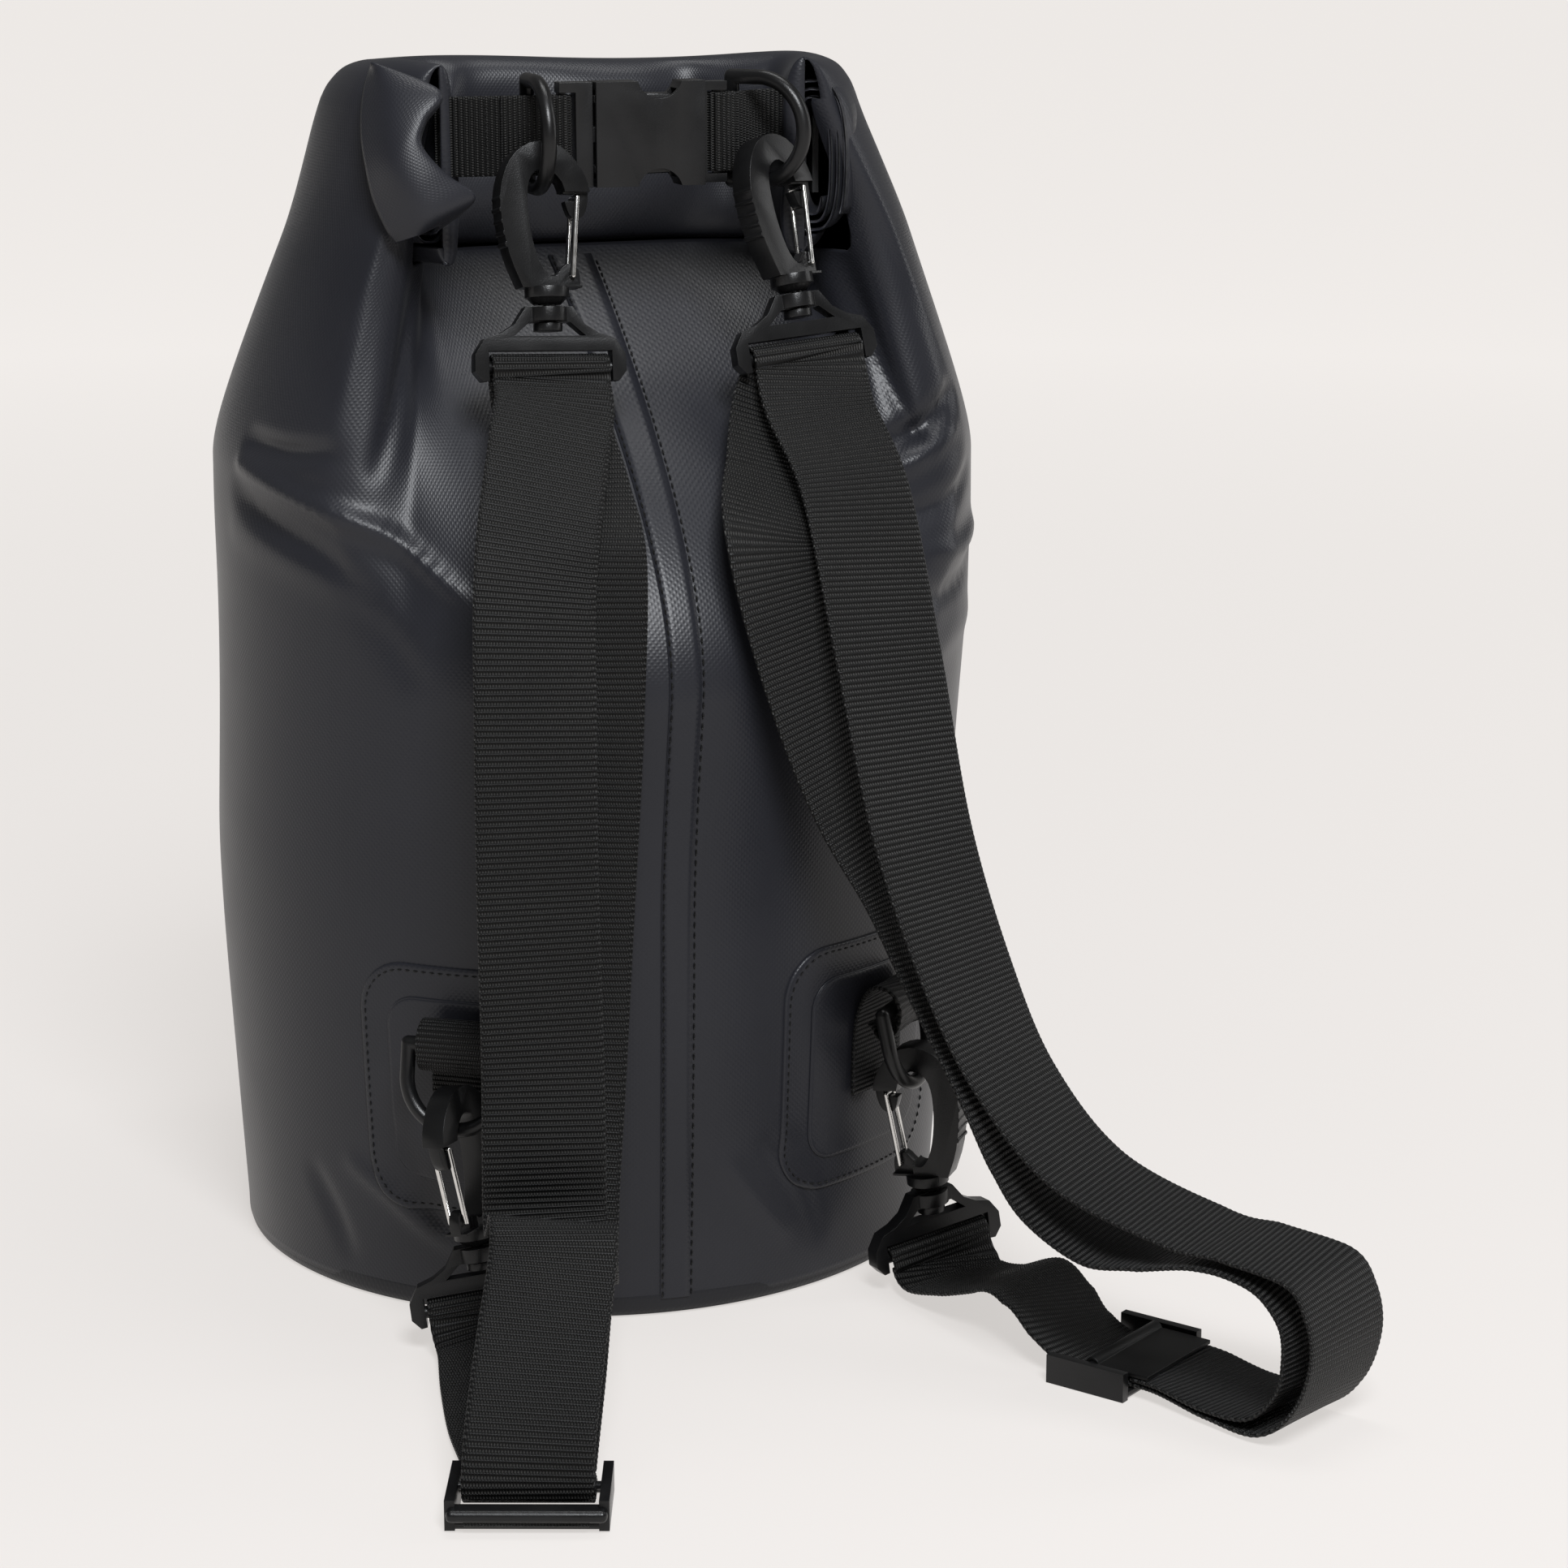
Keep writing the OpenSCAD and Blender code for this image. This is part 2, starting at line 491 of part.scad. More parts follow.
// Buckle frame: X along the closure, Z across the webbing, centred on the closure's height
socket_l = 36;
socket_x = -11;
buckle_h = 33;
buckle_t = 10;
bar_half = 1.3;
module buckle_socket() {
    color(plastic_color)
        translate([socket_x, closure_y, closure_z])
            difference() {
                union() {
                    translate([0, -buckle_t / 2, -buckle_h / 2])
                        cube([socket_l, buckle_t, buckle_h]);
                    translate([socket_l, -2.6, -buckle_h / 2 + 0.5])
                        cube([8, 5.2, buckle_h - 1]);
                }
                // end bar, thinner where the webbing wraps it
                for (side = [-1, 1])
                    translate([socket_l + 1.4, side > 0 ? bar_half : -bar_half - 3, -13.2])
                        cube([8, 3, 26.4]);
                translate([-1, -3.4, -14])
                    cube([socket_l - 4, 6.8, 28]);
                for (side = [-1, 1])
                    translate([21, 0, side * 18.5])
                        rotate([90, 0, 0])
                            cylinder(r = 7.5, h = buckle_t + 2, center = true, $fn = 48);
                translate([socket_l + 1.4, -4, -13.2])
                    cube([2.6, 8, 26.4]);
            }
}
plug_x = -22.6;
module buckle_plug() {
    color(plastic_color)
        translate([plug_x, closure_y, closure_z]) {
            difference() {
                translate([0, -3, -buckle_h / 2])
                    cube([11, 6, buckle_h]);
                translate([2.6, -4, -13.2])
                    cube([2.8, 8, 26.4]);
                for (side = [-1, 1])
                    translate([-1, side > 0 ? bar_half : -bar_half - 3, -13.2])
                        cube([5, 3, 26.4]);
            }
            translate([10.9, -2.6, -2.5])
                cube([26, 5.2, 5]);
        }
}
module buckle_prong(side) {
    color(plastic_color)
        translate([plug_x + 11.3, closure_y, closure_z])
            rotate([90, 0, 0])
                linear_extrude(height = 5.4, center = true)
                    polygon([for (p = [[0, 9.6], [18, 8.4], [30, 8], [30, 10], [25, 12.6], [18, 12.8], [16, 11.6],
                        [0, 12.4]]) [p[0], side * p[1]]]);
}

bag_tube();
base_disc();
base_rim();
seam_strip();
roll_top();
stiffener_strip();
patch_outer(0);  // patch_outer_left
patch_outer(1);  // patch_outer_right
patch_inner(0);  // patch_inner_left
patch_inner(1);  // patch_inner_right
tab(0);  // tab_left
tab(1);  // tab_right
d_ring(ring_top_left);  // d_ring_top_left
d_ring(ring_top_right);  // d_ring_top_right
d_ring(ring_low_left);  // d_ring_low_left
d_ring(ring_low_right);  // d_ring_low_right
hook(place_top_left);  // hook_top_left
hook(place_top_right);  // hook_top_right
hook(place_low_left);  // hook_low_left
hook(place_low_right);  // hook_low_right
gate(place_top_left);  // gate_top_left
gate(place_top_right);  // gate_top_right
gate(place_low_left);  // gate_low_left
gate(place_low_right);  // gate_low_right
strap_loop(place_top_left);  // strap_loop_top_left
strap_loop(place_top_right);  // strap_loop_top_right
strap_loop(place_low_left);  // strap_loop_low_left
strap_loop(place_low_right);  // strap_loop_low_right
shoulder_strap(route_left);  // strap_left
shoulder_strap(route_right);  // strap_right
sewn_end(slider_place_left, 0.1);  // sewn_end_left
sewn_end(slider_place_right, 20);  // sewn_end_right
slider(slider_place_left);  // slider_left
slider(slider_place_right);  // slider_right
closure_web(web_left);  // closure_web_left
closure_web(web_right);  // closure_web_right
buckle_socket();
buckle_plug();
buckle_prong(1);  // buckle_prong_upper
buckle_prong(-1);  // buckle_prong_lower
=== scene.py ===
"""Looks of the roll-top dry bag: coated fabric, ribbed webbing, moulded hardware, floor, light, camera."""
import math

import bmesh
import bpy
import numpy as np
from mathutils import Euler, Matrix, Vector


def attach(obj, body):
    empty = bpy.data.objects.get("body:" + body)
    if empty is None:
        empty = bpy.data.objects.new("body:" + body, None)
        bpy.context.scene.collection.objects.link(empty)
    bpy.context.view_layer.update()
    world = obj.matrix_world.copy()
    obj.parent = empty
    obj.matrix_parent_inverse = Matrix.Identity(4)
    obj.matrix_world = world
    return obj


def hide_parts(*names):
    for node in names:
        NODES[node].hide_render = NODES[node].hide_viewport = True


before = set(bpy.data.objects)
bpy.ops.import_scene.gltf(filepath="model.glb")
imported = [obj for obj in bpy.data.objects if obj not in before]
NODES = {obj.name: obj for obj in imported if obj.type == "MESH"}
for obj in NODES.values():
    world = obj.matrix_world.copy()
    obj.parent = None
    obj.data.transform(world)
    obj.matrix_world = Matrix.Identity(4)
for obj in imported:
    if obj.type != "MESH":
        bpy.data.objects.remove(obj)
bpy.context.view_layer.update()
MM = 0.001
ROOT = "bag"

# ------------------------------------------------------------------ camera, floor and light
CAM_DIST = 1.285        # metres from the bag's axis, level
CAM_HEIGHT = 0.465      # metres over the floor
CAM_SIDE = 15.5         # degrees round from the strap side
CAM_TURN = 3.07         # degrees turned to the right of the bag's axis
CAM_PITCH = 13.8        # degrees down
CAM_LENS = 87.6         # mm

side = math.radians(CAM_SIDE)
cam_data = bpy.data.cameras.new("camera")
cam_data.lens = CAM_LENS
cam = bpy.data.objects.new("camera", cam_data)
cam.location = (-CAM_DIST * math.sin(side), -CAM_DIST * math.cos(side), CAM_HEIGHT)
cam.rotation_euler = (math.radians(90 - CAM_PITCH), 0, -math.radians(CAM_SIDE + CAM_TURN))
bpy.context.scene.collection.objects.link(cam)
bpy.context.scene.camera = cam


# ------------------------------------------------------------------ node helpers
def new_material(name):
    mat = bpy.data.materials.new(name)
    mat.use_nodes = True
    tree = mat.node_tree
    return mat, tree, tree.nodes["Principled BSDF"]


def node(tree, kind, **values):
    made = tree.nodes.new(kind)
    for key, value in values.items():
        if key in made.inputs:
            made.inputs[key].default_value = value
        else:
            setattr(made, key, value)
    return made


def link(tree, a, a_out, b, b_in):
    tree.links.new(a.outputs[a_out], b.inputs[b_in])


def maths(tree, operation, a, b=None, c=None):
    made = tree.nodes.new("ShaderNodeMath")
    made.operation = operation
    for i, value in enumerate((a, b, c)):
        if value is None:
            continue
        if isinstance(value, (int, float)):
            made.inputs[i].default_value = value
        else:
            tree.links.new(value, made.inputs[i])
    return made.outputs[0]


def ramp(tree, fac, low, high, start=0.0, end=1.0):
    made = tree.nodes.new("ShaderNodeValToRGB")
    made.color_ramp.elements[0].position = start
    made.color_ramp.elements[1].position = end
    made.color_ramp.elements[0].color = (*low, 1)
    made.color_ramp.elements[1].color = (*high, 1)
    tree.links.new(fac, made.inputs[0])
    return made.outputs[0]


def weave_axes(tree):
    """The cloth's own coordinates in millimetres: across and along."""
    uv = node(tree, "ShaderNodeUVMap", uv_map="cloth")
    split = node(tree, "ShaderNodeSeparateXYZ")
    link(tree, uv, 0, split, 0)
    return split.outputs[0], split.outputs[1]


def mottling(tree, scale, detail=4.0):
    coord = node(tree, "ShaderNodeTexCoord")
    noise = node(tree, "ShaderNodeTexNoise", Scale=scale, Detail=detail)
    link(tree, coord, "Object", noise, "Vector")
    return noise.outputs["Fac"]


def wave(tree, value, pitch):
    """0 to 1 and back once every pitch."""
    turn = maths(tree, "MULTIPLY", value, 2 * math.pi / pitch)
    return maths(tree, "MULTIPLY_ADD", maths(tree, "SINE", turn), 0.5, 0.5)


def bump(tree, shader, height, strength, distance):
    made = node(tree, "ShaderNodeBump", Strength=strength, Distance=distance)
    tree.links.new(height, made.inputs["Height"])
    link(tree, made, 0, shader, "Normal")


# ------------------------------------------------------------------ materials
def tarpaulin(name, low, high, rough_low, rough_high):
    """Coated fabric: its scrim shows through the coating as a fine slanting grid."""
    mat, tree, shader = new_material(name)
    across, along = weave_axes(tree)
    plus = maths(tree, "ADD", across, along)
    minus = maths(tree, "SUBTRACT", across, along)
    grid = maths(tree, "MULTIPLY", wave(tree, plus, 1.9), wave(tree, minus, 1.9))
    clouds = mottling(tree, 14.0)
    fine = mottling(tree, 900.0, 2.0)
    height = maths(tree, "MULTIPLY_ADD", fine, 0.35, maths(tree, "MULTIPLY", grid, 0.8))
    bump(tree, shader, height, 0.16, 0.0004)
    tree.links.new(ramp(tree, clouds, low, high, 0.35, 0.65), shader.inputs["Base Color"])
    rough = node(tree, "ShaderNodeMapRange")
    tree.links.new(clouds, rough.inputs["Value"])
    rough.inputs["From Min"].default_value = 0.3
    rough.inputs["From Max"].default_value = 0.7
    rough.inputs["To Min"].default_value = rough_low
    rough.inputs["To Max"].default_value = rough_high
    grain = maths(tree, "MULTIPLY_ADD", grid, -0.05, rough.outputs[0])
    tree.links.new(grain, shader.inputs["Roughness"])
    shader.inputs["Specular IOR Level"].default_value = 0.3
    shader.inputs["Sheen Weight"].default_value = 0.02
    shader.inputs["Sheen Roughness"].default_value = 0.4
    return mat


def webbing(name, rib, yarn):
    """Ribbed polyester webbing: ribs across the width, fine yarns over each rib. Its colour follows the rib
    height: painted shade in the grooves, and painted highlights as bright flecks on the rib and yarn tops.
    """
    mat, tree, shader = new_material(name)
    across, along = weave_axes(tree)
    row = maths(tree, "FLOOR", maths(tree, "DIVIDE", along, rib))
    shift = maths(tree, "MULTIPLY", maths(tree, "MODULO", row, 2.0), yarn / 2)
    yarns = wave(tree, maths(tree, "ADD", across, shift), yarn)
    ribs = wave(tree, along, rib)
    height = maths(tree, "MULTIPLY", ribs, maths(tree, "MULTIPLY_ADD", yarns, 0.75, 0.25))
    bump(tree, shader, height, 1.0, 0.0008)
    clouds = mottling(tree, 30.0)
    # painted shade and highlight: the colour is near black in the grooves and brighter on the rib and yarn
    # tops, varied by a random mottle
    tone = maths(tree, "MULTIPLY", height, maths(tree, "MULTIPLY_ADD", clouds, 0.6, 0.7))
    colour = ramp(tree, tone, (0.001, 0.001, 0.001), (0.04, 0.039, 0.037), 0.3, 0.95)
    tree.links.new(colour, shader.inputs["Base Color"])
    shader.inputs["Roughness"].default_value = 0.5
    shader.inputs["Specular IOR Level"].default_value = 0.22
    shader.inputs["Sheen Weight"].default_value = 0.03
    shader.inputs["Sheen Roughness"].default_value = 0.35
    return mat


def moulded(name, low, high, rough):
    """Moulded plastic: fine spark-eroded grain, slight wear and uneven gloss."""
    mat, tree, shader = new_material(name)
    clouds = mottling(tree, 60.0)
    grain = mottling(tree, 2600.0, 1.0)
    bump(tree, shader, grain, 0.22, 0.0002)
    tree.links.new(ramp(tree, clouds, low, high, 0.35, 0.7), shader.inputs["Base Color"])
    spread = maths(tree, "MULTIPLY_ADD", clouds, 0.22, rough - 0.11)
    tree.links.new(spread, shader.inputs["Roughness"])
    shader.inputs["Specular IOR Level"].default_value = 0.32
    return mat


def steel(name):
    mat, tree, shader = new_material(name)
    clouds = mottling(tree, 400.0)
    tree.links.new(ramp(tree, clouds, (0.55, 0.54, 0.52), (0.78, 0.77, 0.75)), shader.inputs["Base Color"])
    spread = maths(tree, "MULTIPLY_ADD", clouds, 0.2, 0.12)
    tree.links.new(spread, shader.inputs["Roughness"])
    shader.inputs["Metallic"].default_value = 1.0
    return mat


def plain_floor():
    """Seamless pale paper that glows a little less close to the lights, so it reads as one even tone."""
    mat, tree, shader = new_material("floor")
    clouds = mottling(tree, 1.5)
    tree.links.new(ramp(tree, clouds, (0.19, 0.183, 0.178), (0.2, 0.193, 0.188)), shader.inputs["Base Color"])
    place = tree.nodes.new("ShaderNodeTexCoord")
    shrink = tree.nodes.new("ShaderNodeMapping")
    shrink.inputs["Scale"].default_value = (0.42, 0.42, 0.42)
    tree.links.new(place.outputs["Object"], shrink.inputs["Vector"])
    round_spot = tree.nodes.new("ShaderNodeTexGradient")
    round_spot.gradient_type = "SPHERICAL"
    tree.links.new(shrink.outputs["Vector"], round_spot.inputs["Vector"])
    glow = ramp(tree, round_spot.outputs["Fac"], (0.815, 0.784, 0.76), (0.6, 0.575, 0.556))
    tree.links.new(glow, shader.inputs["Emission Color"])
    shader.inputs["Emission Strength"].default_value = 1.0
    shader.inputs["Roughness"].default_value = 0.8
    shader.inputs["Specular IOR Level"].default_value = 0.1
    return mat


SKIN = tarpaulin("tarpaulin", (0.0115, 0.012, 0.0155), (0.015, 0.0155, 0.0195), 0.36, 0.44)
WELD = tarpaulin("weld_tape", (0.0115, 0.012, 0.0155), (0.015, 0.0155, 0.0195), 0.34, 0.42)
HEM = tarpaulin("hem", (0.007, 0.0072, 0.009), (0.01, 0.0102, 0.0125), 0.4, 0.5)
WEB = webbing("webbing", 1.8, 0.9)
TAPE = webbing("tape", 1.6, 0.8)
PLASTIC = moulded("plastic", (0.0035, 0.0035, 0.0037), (0.006, 0.006, 0.0063), 0.33)
BUCKLE = moulded("buckle_plastic", (0.004, 0.004, 0.0043), (0.007, 0.007, 0.0074), 0.36)
STEEL = steel("steel_wire")
THREAD = webbing("thread", 0.9, 0.5)
STIFF = moulded("stiffener", (0.03, 0.03, 0.03), (0.05, 0.05, 0.05), 0.5)


# ------------------------------------------------------------------ mesh helpers
def make_object(name, verts, faces, mat, uvs=None):
    """verts in millimetres; uvs is one (across, along) pair per vertex, or per face corner."""
    mesh = bpy.data.meshes.new(name)
    mesh.from_pydata((np.asarray(verts) * MM).tolist(), [], faces)
    mesh.update()
    layer = mesh.uv_layers.new(name="cloth")
    if uvs is not None:
        corners = np.empty(len(mesh.loops), dtype=np.int32)
        mesh.loops.foreach_get("vertex_index", corners)
        flat = np.asarray(uvs, dtype=np.float32)
        flat = flat[corners] if len(flat) == len(verts) else flat
        layer.data.foreach_set("uv", flat.ravel())
    mesh.polygons.foreach_set("use_smooth", [True] * len(mesh.polygons))
    mesh.materials.append(mat)
    made = bpy.data.objects.new(name, mesh)
    bpy.context.scene.collection.objects.link(made)
    return made


def grid_faces(rows, cols, closed=False, start=0):
    faces = []
    for i in range(rows - 1):
        for k in range(cols if closed else cols - 1):
            j = (k + 1) % cols
            a = start + i * cols
            faces.append((a + k, a + j, a + cols + j, a + cols + k))
    return faces


def finish_piece(piece, body, slot, *replaced):
    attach(piece, body)
    if replaced:
        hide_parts(*replaced)
    return piece


def add_modifier(piece, kind, **values):
    made = piece.modifiers.new(kind.lower(), kind)
    for key, value in values.items():
        setattr(made, key, value)
    return made


def catmull(points, u):
    """Points of a Catmull-Rom curve at the parameters u, which run from 0 to the number of spans."""
    p = np.asarray(points, float)
    n = len(p) - 1
    u = np.clip(np.asarray(u, float), 0, n - 1e-6)
    i = u.astype(int)
    s = (u - i)[:, None]
    a, b = p[np.maximum(i - 1, 0)], p[i]
    c, d = p[np.minimum(i + 1, n)], p[np.minimum(i + 2, n)]
    return 0.5 * (2 * b + (c - a) * s + (2 * a - 5 * b + 4 * c - d) * s**2 + (3 * b - a - 3 * c + d) * s**3)


def rings_by_length(points, extra, step):
    """Resamples a Catmull-Rom curve and its extra columns at even steps along its length."""
    cols = np.hstack([np.asarray(points, float), np.asarray(extra, float)])
    dense = catmull(cols, np.linspace(0, len(cols) - 1, (len(cols) - 1) * 24))
    length = np.concatenate([[0], np.cumsum(np.linalg.norm(np.diff(dense[:, :3], axis=0), axis=1))])
    count = max(int(length[-1] / step), 4)
    at = np.linspace(0, length[-1], count)
    out = np.stack([np.interp(at, length, dense[:, c]) for c in range(cols.shape[1])], axis=1)
    return out[:, :3], out[:, 3:], at


def rows_unit(v):
    return v / np.linalg.norm(v, axis=1, keepdims=True)


def strap_mesh(name, route, width, thick, mat, rib=1.8, step=0.45, rib_depth=0.09):
    """Webbing along a route of (x, y, z, turn of the width, its rise): ribs are real geometry."""
    route = np.asarray(route, float)
    mid, turn, at = rings_by_length(route[:, :3], route[:, 3:5], step)
    yaw, rise = np.radians(turn[:, 0]), np.radians(turn[:, 1])
    flat = np.stack([np.cos(yaw) * np.cos(rise), np.sin(yaw) * np.cos(rise), np.sin(rise)], axis=1)
    along = rows_unit(np.gradient(mid, axis=0))
    flat = rows_unit(flat - along * np.sum(along * flat, axis=1, keepdims=True))
    up = np.cross(along, flat)
    half_w, half_t = width / 2, thick / 2
    across = np.linspace(-1, 1, 13)
    face = np.sign(across) * (1 - (1 - np.abs(across)) ** 1.35)
    top = [(half_w * a * 0.985, half_t, 1.0) for a in face]
    edge = [(half_w, half_t * 0.35, 0.3), (half_w, -half_t * 0.35, 0.3)]
    under = [(half_w * a * 0.985, -half_t, -1.0) for a in face[::-1]]
    far = [(-half_w, -half_t * 0.35, 0.3), (-half_w, half_t * 0.35, 0.3)]
    section = top + edge + under + far
    ribs = np.cos(2 * math.pi * at / rib)
    verts, uvs = [], []
    for x, z, side_sign in section:
        swell = ribs * rib_depth
        if abs(side_sign) == 1.0:
            offset = flat * x + up * (z + side_sign * swell)[:, None]
        else:
            offset = flat * (x + math.copysign(1, x) * (swell * 0.8))[:, None] + up * z
        verts.append(mid + offset)
        uvs.append(np.stack([np.full(len(at), x + half_w), at], axis=1))
    verts = np.stack(verts, axis=1).reshape(-1, 3)
    uvs = np.stack(uvs, axis=1).reshape(-1, 2)
    cols = len(section)
    faces = grid_faces(len(at), cols, closed=True)
    faces += [tuple(range(cols)), tuple(range(len(verts) - 1, len(verts) - cols - 1, -1))]
    return make_object(name, verts, faces, mat, uvs)


# ------------------------------------------------------------------ the bag's shape, in mm
TUBE_R, BASE_R = 126.0, 118.0
ROLL_Z, ROLL_H = 336.0, 62.0    # the roll's underside and its height
SHOULDER_Z, BACK_TOP = 225.0, 386.0
FRONT_BEND_Z, BACK_BEND_Z = 205.0, 268.0    # where the tube starts to close, front panel and the rest
FRONT_POWER = 1.75              # the front panel closes slowly at first, the rest evenly
SHOULDER_ROUND = 0.15           # how long the rest takes to turn over, as a share of the height that closes
FRONT_HALF, FRONT_BLEND = 42.0, 18.0        # degrees: half the front panel, and its blend into the rest
GIRTH = 2 * math.pi * TUBE_R
DEGREES = 57.3                  # degrees in a radian, rounded
MOUTH = [(-60, -58), (-71, -34), (-69, -4), (-45, 13), (0, 14), (45, 13), (71, -4), (72, -34), (60, -58)]
BEHIND, BEFORE = 14.0, 11.0     # the skin's distance from the mouth's centre line
BACK_SHARE = 240.0              # degrees of the tube that pass behind the roll, from pleat to pleat


def ease(s):
    s = np.clip(s, 0, 1)
    return s * s * (3 - 2 * s)


def mouth_mid(s):
    """The mouth's centre line, seen from above; s runs from 0 to 1 along it."""
    return catmull(MOUTH, np.clip(s, 0, 0.9999) * (len(MOUTH) - 1))


def mouth_out(s):
    t = rows_unit(mouth_mid(np.minimum(s + 0.01, 1)) - mouth_mid(np.maximum(s - 0.01, 0)))
    return np.stack([-t[:, 1], t[:, 0]], axis=1)


def tube_radius(z):
    low = BASE_R + (TUBE_R - BASE_R) * ease((z + 60) / 210)
    high = TUBE_R + 2 * ease((z - 150) / 110)
    return np.where(z < 150, low, high)


def mouth_share(angle):
    """Where an angle round the tube lands on the mouth: along it, and whether behind it."""
    a = (angle + 750) % 360
    back = a <= BACK_SHARE
    s = np.where(back, 1 - a / BACK_SHARE, (a - BACK_SHARE) / (360 - BACK_SHARE))
    return s, back


def from_front(angle):
    """Degrees round the tube from the middle of the front panel, either way."""
    return np.abs((angle + 630) % 360 - 180)


def lean(z):
    """The bag stands a few mm over to the right between the base and the roll."""
    return 4 * ease((z - 130) / 110) * (1 - ease((z - 340) / 50))


def tube_point(angle, z):
    """A point on the bag's skin: angle in degrees, z in mm, both arrays."""
    angle, z = np.broadcast_arrays(np.asarray(angle, float), np.asarray(z, float))
    angle, z = angle.ravel(), z.ravel()
    w = ease((from_front(angle) - FRONT_HALF) / FRONT_BLEND)
    start = FRONT_BEND_Z + (BACK_BEND_Z - FRONT_BEND_Z) * w
    stop = ROLL_Z + ROLL_H * w
    t = np.clip((z - start) / (stop - start), 0, 1)
    shoulder = t * (1 + SHOULDER_ROUND) / (t + SHOULDER_ROUND)
    close = t ** (FRONT_POWER - (FRONT_POWER - 1) * w) * shoulder ** w
    s, back = mouth_share(angle)
    tip = np.abs(np.sin(math.pi * s)) ** 0.35
    reach = np.where(back, BEHIND, -BEFORE) * tip
    ring = np.stack([np.cos(np.radians(angle)), np.sin(np.radians(angle))], axis=1) * tube_radius(z)[:, None]
    flat = mouth_mid(s) + mouth_out(s) * reach[:, None]
    xy = ring * (1 - close)[:, None] + flat * close[:, None]
    xy[:, 0] += lean(z)
    return np.hstack([xy, z[:, None]])


def level_at(angle, level):
    """The back panel and the pleats rise past the front panel, up behind the roll."""
    raised = SHOULDER_Z + (level - SHOULDER_Z) * (BACK_TOP - SHOULDER_Z) / (ROLL_Z - SHOULDER_Z)
    share = ease((from_front(angle) - 50) / 9)
    return np.where(level < SHOULDER_Z, level, level + (raised - level) * share)


def smooth_noise(angle, z, seed, waves=10, low=1.0, high=5.0, tall=60.0):
    """Slow, repeatable undulation of the skin, periodic round the tube."""
    rng = np.random.default_rng(seed)
    total = np.zeros_like(angle)
    for _ in range(waves):
        turns = rng.integers(int(low), int(high) + 1)
        phase, slope = rng.uniform(0, 2 * math.pi), rng.normal(0, 1 / tall)
        total += np.sin(np.radians(angle) * turns + z * slope + phase) / math.sqrt(turns)
    return total / waves


# Creases: points (angle, height), depth in mm (negative goes in), half width in mm
CREASES = [
    ([(192, 272), (202, 268), (214, 262), (226, 252), (236, 238)], 3.6, 5.5),
    ([(193, 280), (203, 279), (213, 281)], -3.4, 5.0),
    ([(191, 262), (200, 256), (212, 248), (222, 236)], -2.6, 7.0),
    ([(190, 250), (205, 246), (219, 238), (230, 216)], 1.6, 10.0),
    ([(213, 282), (212, 300), (211, 320), (210, 336)], 1.2, 6.0),
    ([(220, 276), (222, 296), (222, 318), (221, 336)], -2.2, 6.0),
    ([(218, 236), (223, 226), (228, 212)], -1.6, 9.0),
    ([(326, 279), (318, 270), (309, 264), (300, 258)], 3.0, 5.5),
    ([(330, 290), (322, 281), (314, 276)], -4.6, 5.0),
    ([(330, 262), (322, 256), (312, 252), (302, 248)], -2.8, 6.0),
    ([(336, 244), (326, 240), (316, 240)], 2.6, 6.0),
    ([(338, 232), (328, 228), (318, 226), (306, 224)], -2.4, 6.5),
    ([(336, 214), (325, 212), (314, 206)], 1.6, 9.0),
    ([(327, 282), (328, 300), (329, 320), (330, 336)], 0.4, 6.0),
    ([(320, 276), (318, 296), (318, 318), (319, 336)], -3.0, 7.0),
    ([(215, 46), (222, 38), (229, 28), (235, 22)], 1.8, 5.0),
    ([(206, 38), (210, 26), (213, 14)], -1.6, 6.0),
    ([(224, 62), (228, 44), (231, 30)], -1.4, 7.0),
    ([(276, 50), (281, 36), (286, 22)], 1.3, 5.0),
    ([(283, 56), (289, 38), (293, 18)], -1.5, 6.0),
    ([(20, 275), (38, 262), (60, 258)], 3.0, 9.0),
    ([(150, 272), (132, 262), (112, 260)], 3.0, 9.0),
    ([(75, 290), (88, 262), (104, 246)], -2.6, 12.0),
    ([(40, 300), (34, 280), (26, 268)], -3.0, 9.0),
    ([(140, 305), (148, 284), (158, 270)], -3.0, 9.0),
    ([(60, 40), (72, 28), (80, 16)], -1.4, 7.0),
    ([(120, 44), (112, 30), (100, 20)], 1.4, 7.0),
    ([(340, 40), (350, 30), (2, 20)], -1.3, 7.0),
]


def crease_offset(angle, z):
    """How far the creases push the skin out; each fades towards its ends."""
    total = np.zeros_like(angle)
    for points, depth, wide in CREASES:
        pts = np.array(points, float)
        pts[:, 0] = np.unwrap(np.radians(pts[:, 0])) * TUBE_R
        dense = catmull(pts, np.linspace(0, len(pts) - 1, 24))
        fade = np.sin(math.pi * np.linspace(0.1, 0.96, len(dense))) ** 0.7
        best = np.zeros_like(angle)
        for (arc, height), f in zip(dense, fade):
            d_arc = (np.radians(angle) * TUBE_R - arc + GIRTH / 2) % GIRTH - GIRTH / 2
            near = np.exp(-(d_arc**2 + (z - height) ** 2) / (0.68 * wide) ** 2) * f
            best = np.maximum(best, near)
        total += best * depth
    return total


def surface(angle, z):
    """The creased skin and its outward direction at paired angles and heights."""
    angle, z = np.asarray(angle, float), np.asarray(z, float)
    p = tube_point(angle, z)
    normal = rows_unit(np.cross(tube_point(angle + 0.7, z) - tube_point(angle - 0.7, z),
                                tube_point(angle, z + 1) - tube_point(angle, z - 1)))
    push = crease_offset(angle, z) + 1.5 * smooth_noise(angle, z, 3) * ease((z - 10) / 40)
    crumple = 1.2 - 0.8 * np.cos(np.radians(angle - 270))      # least on the front panel
    ripples = smooth_noise(angle, z, 8, low=2, high=9, tall=35)
    push += crumple * ripples * ease((z - 200) / 60)
    push *= (1 - ease((z - BACK_TOP + 20) / 20)) * ease((z - 4) / 10)
    return p + normal * push[:, None], normal


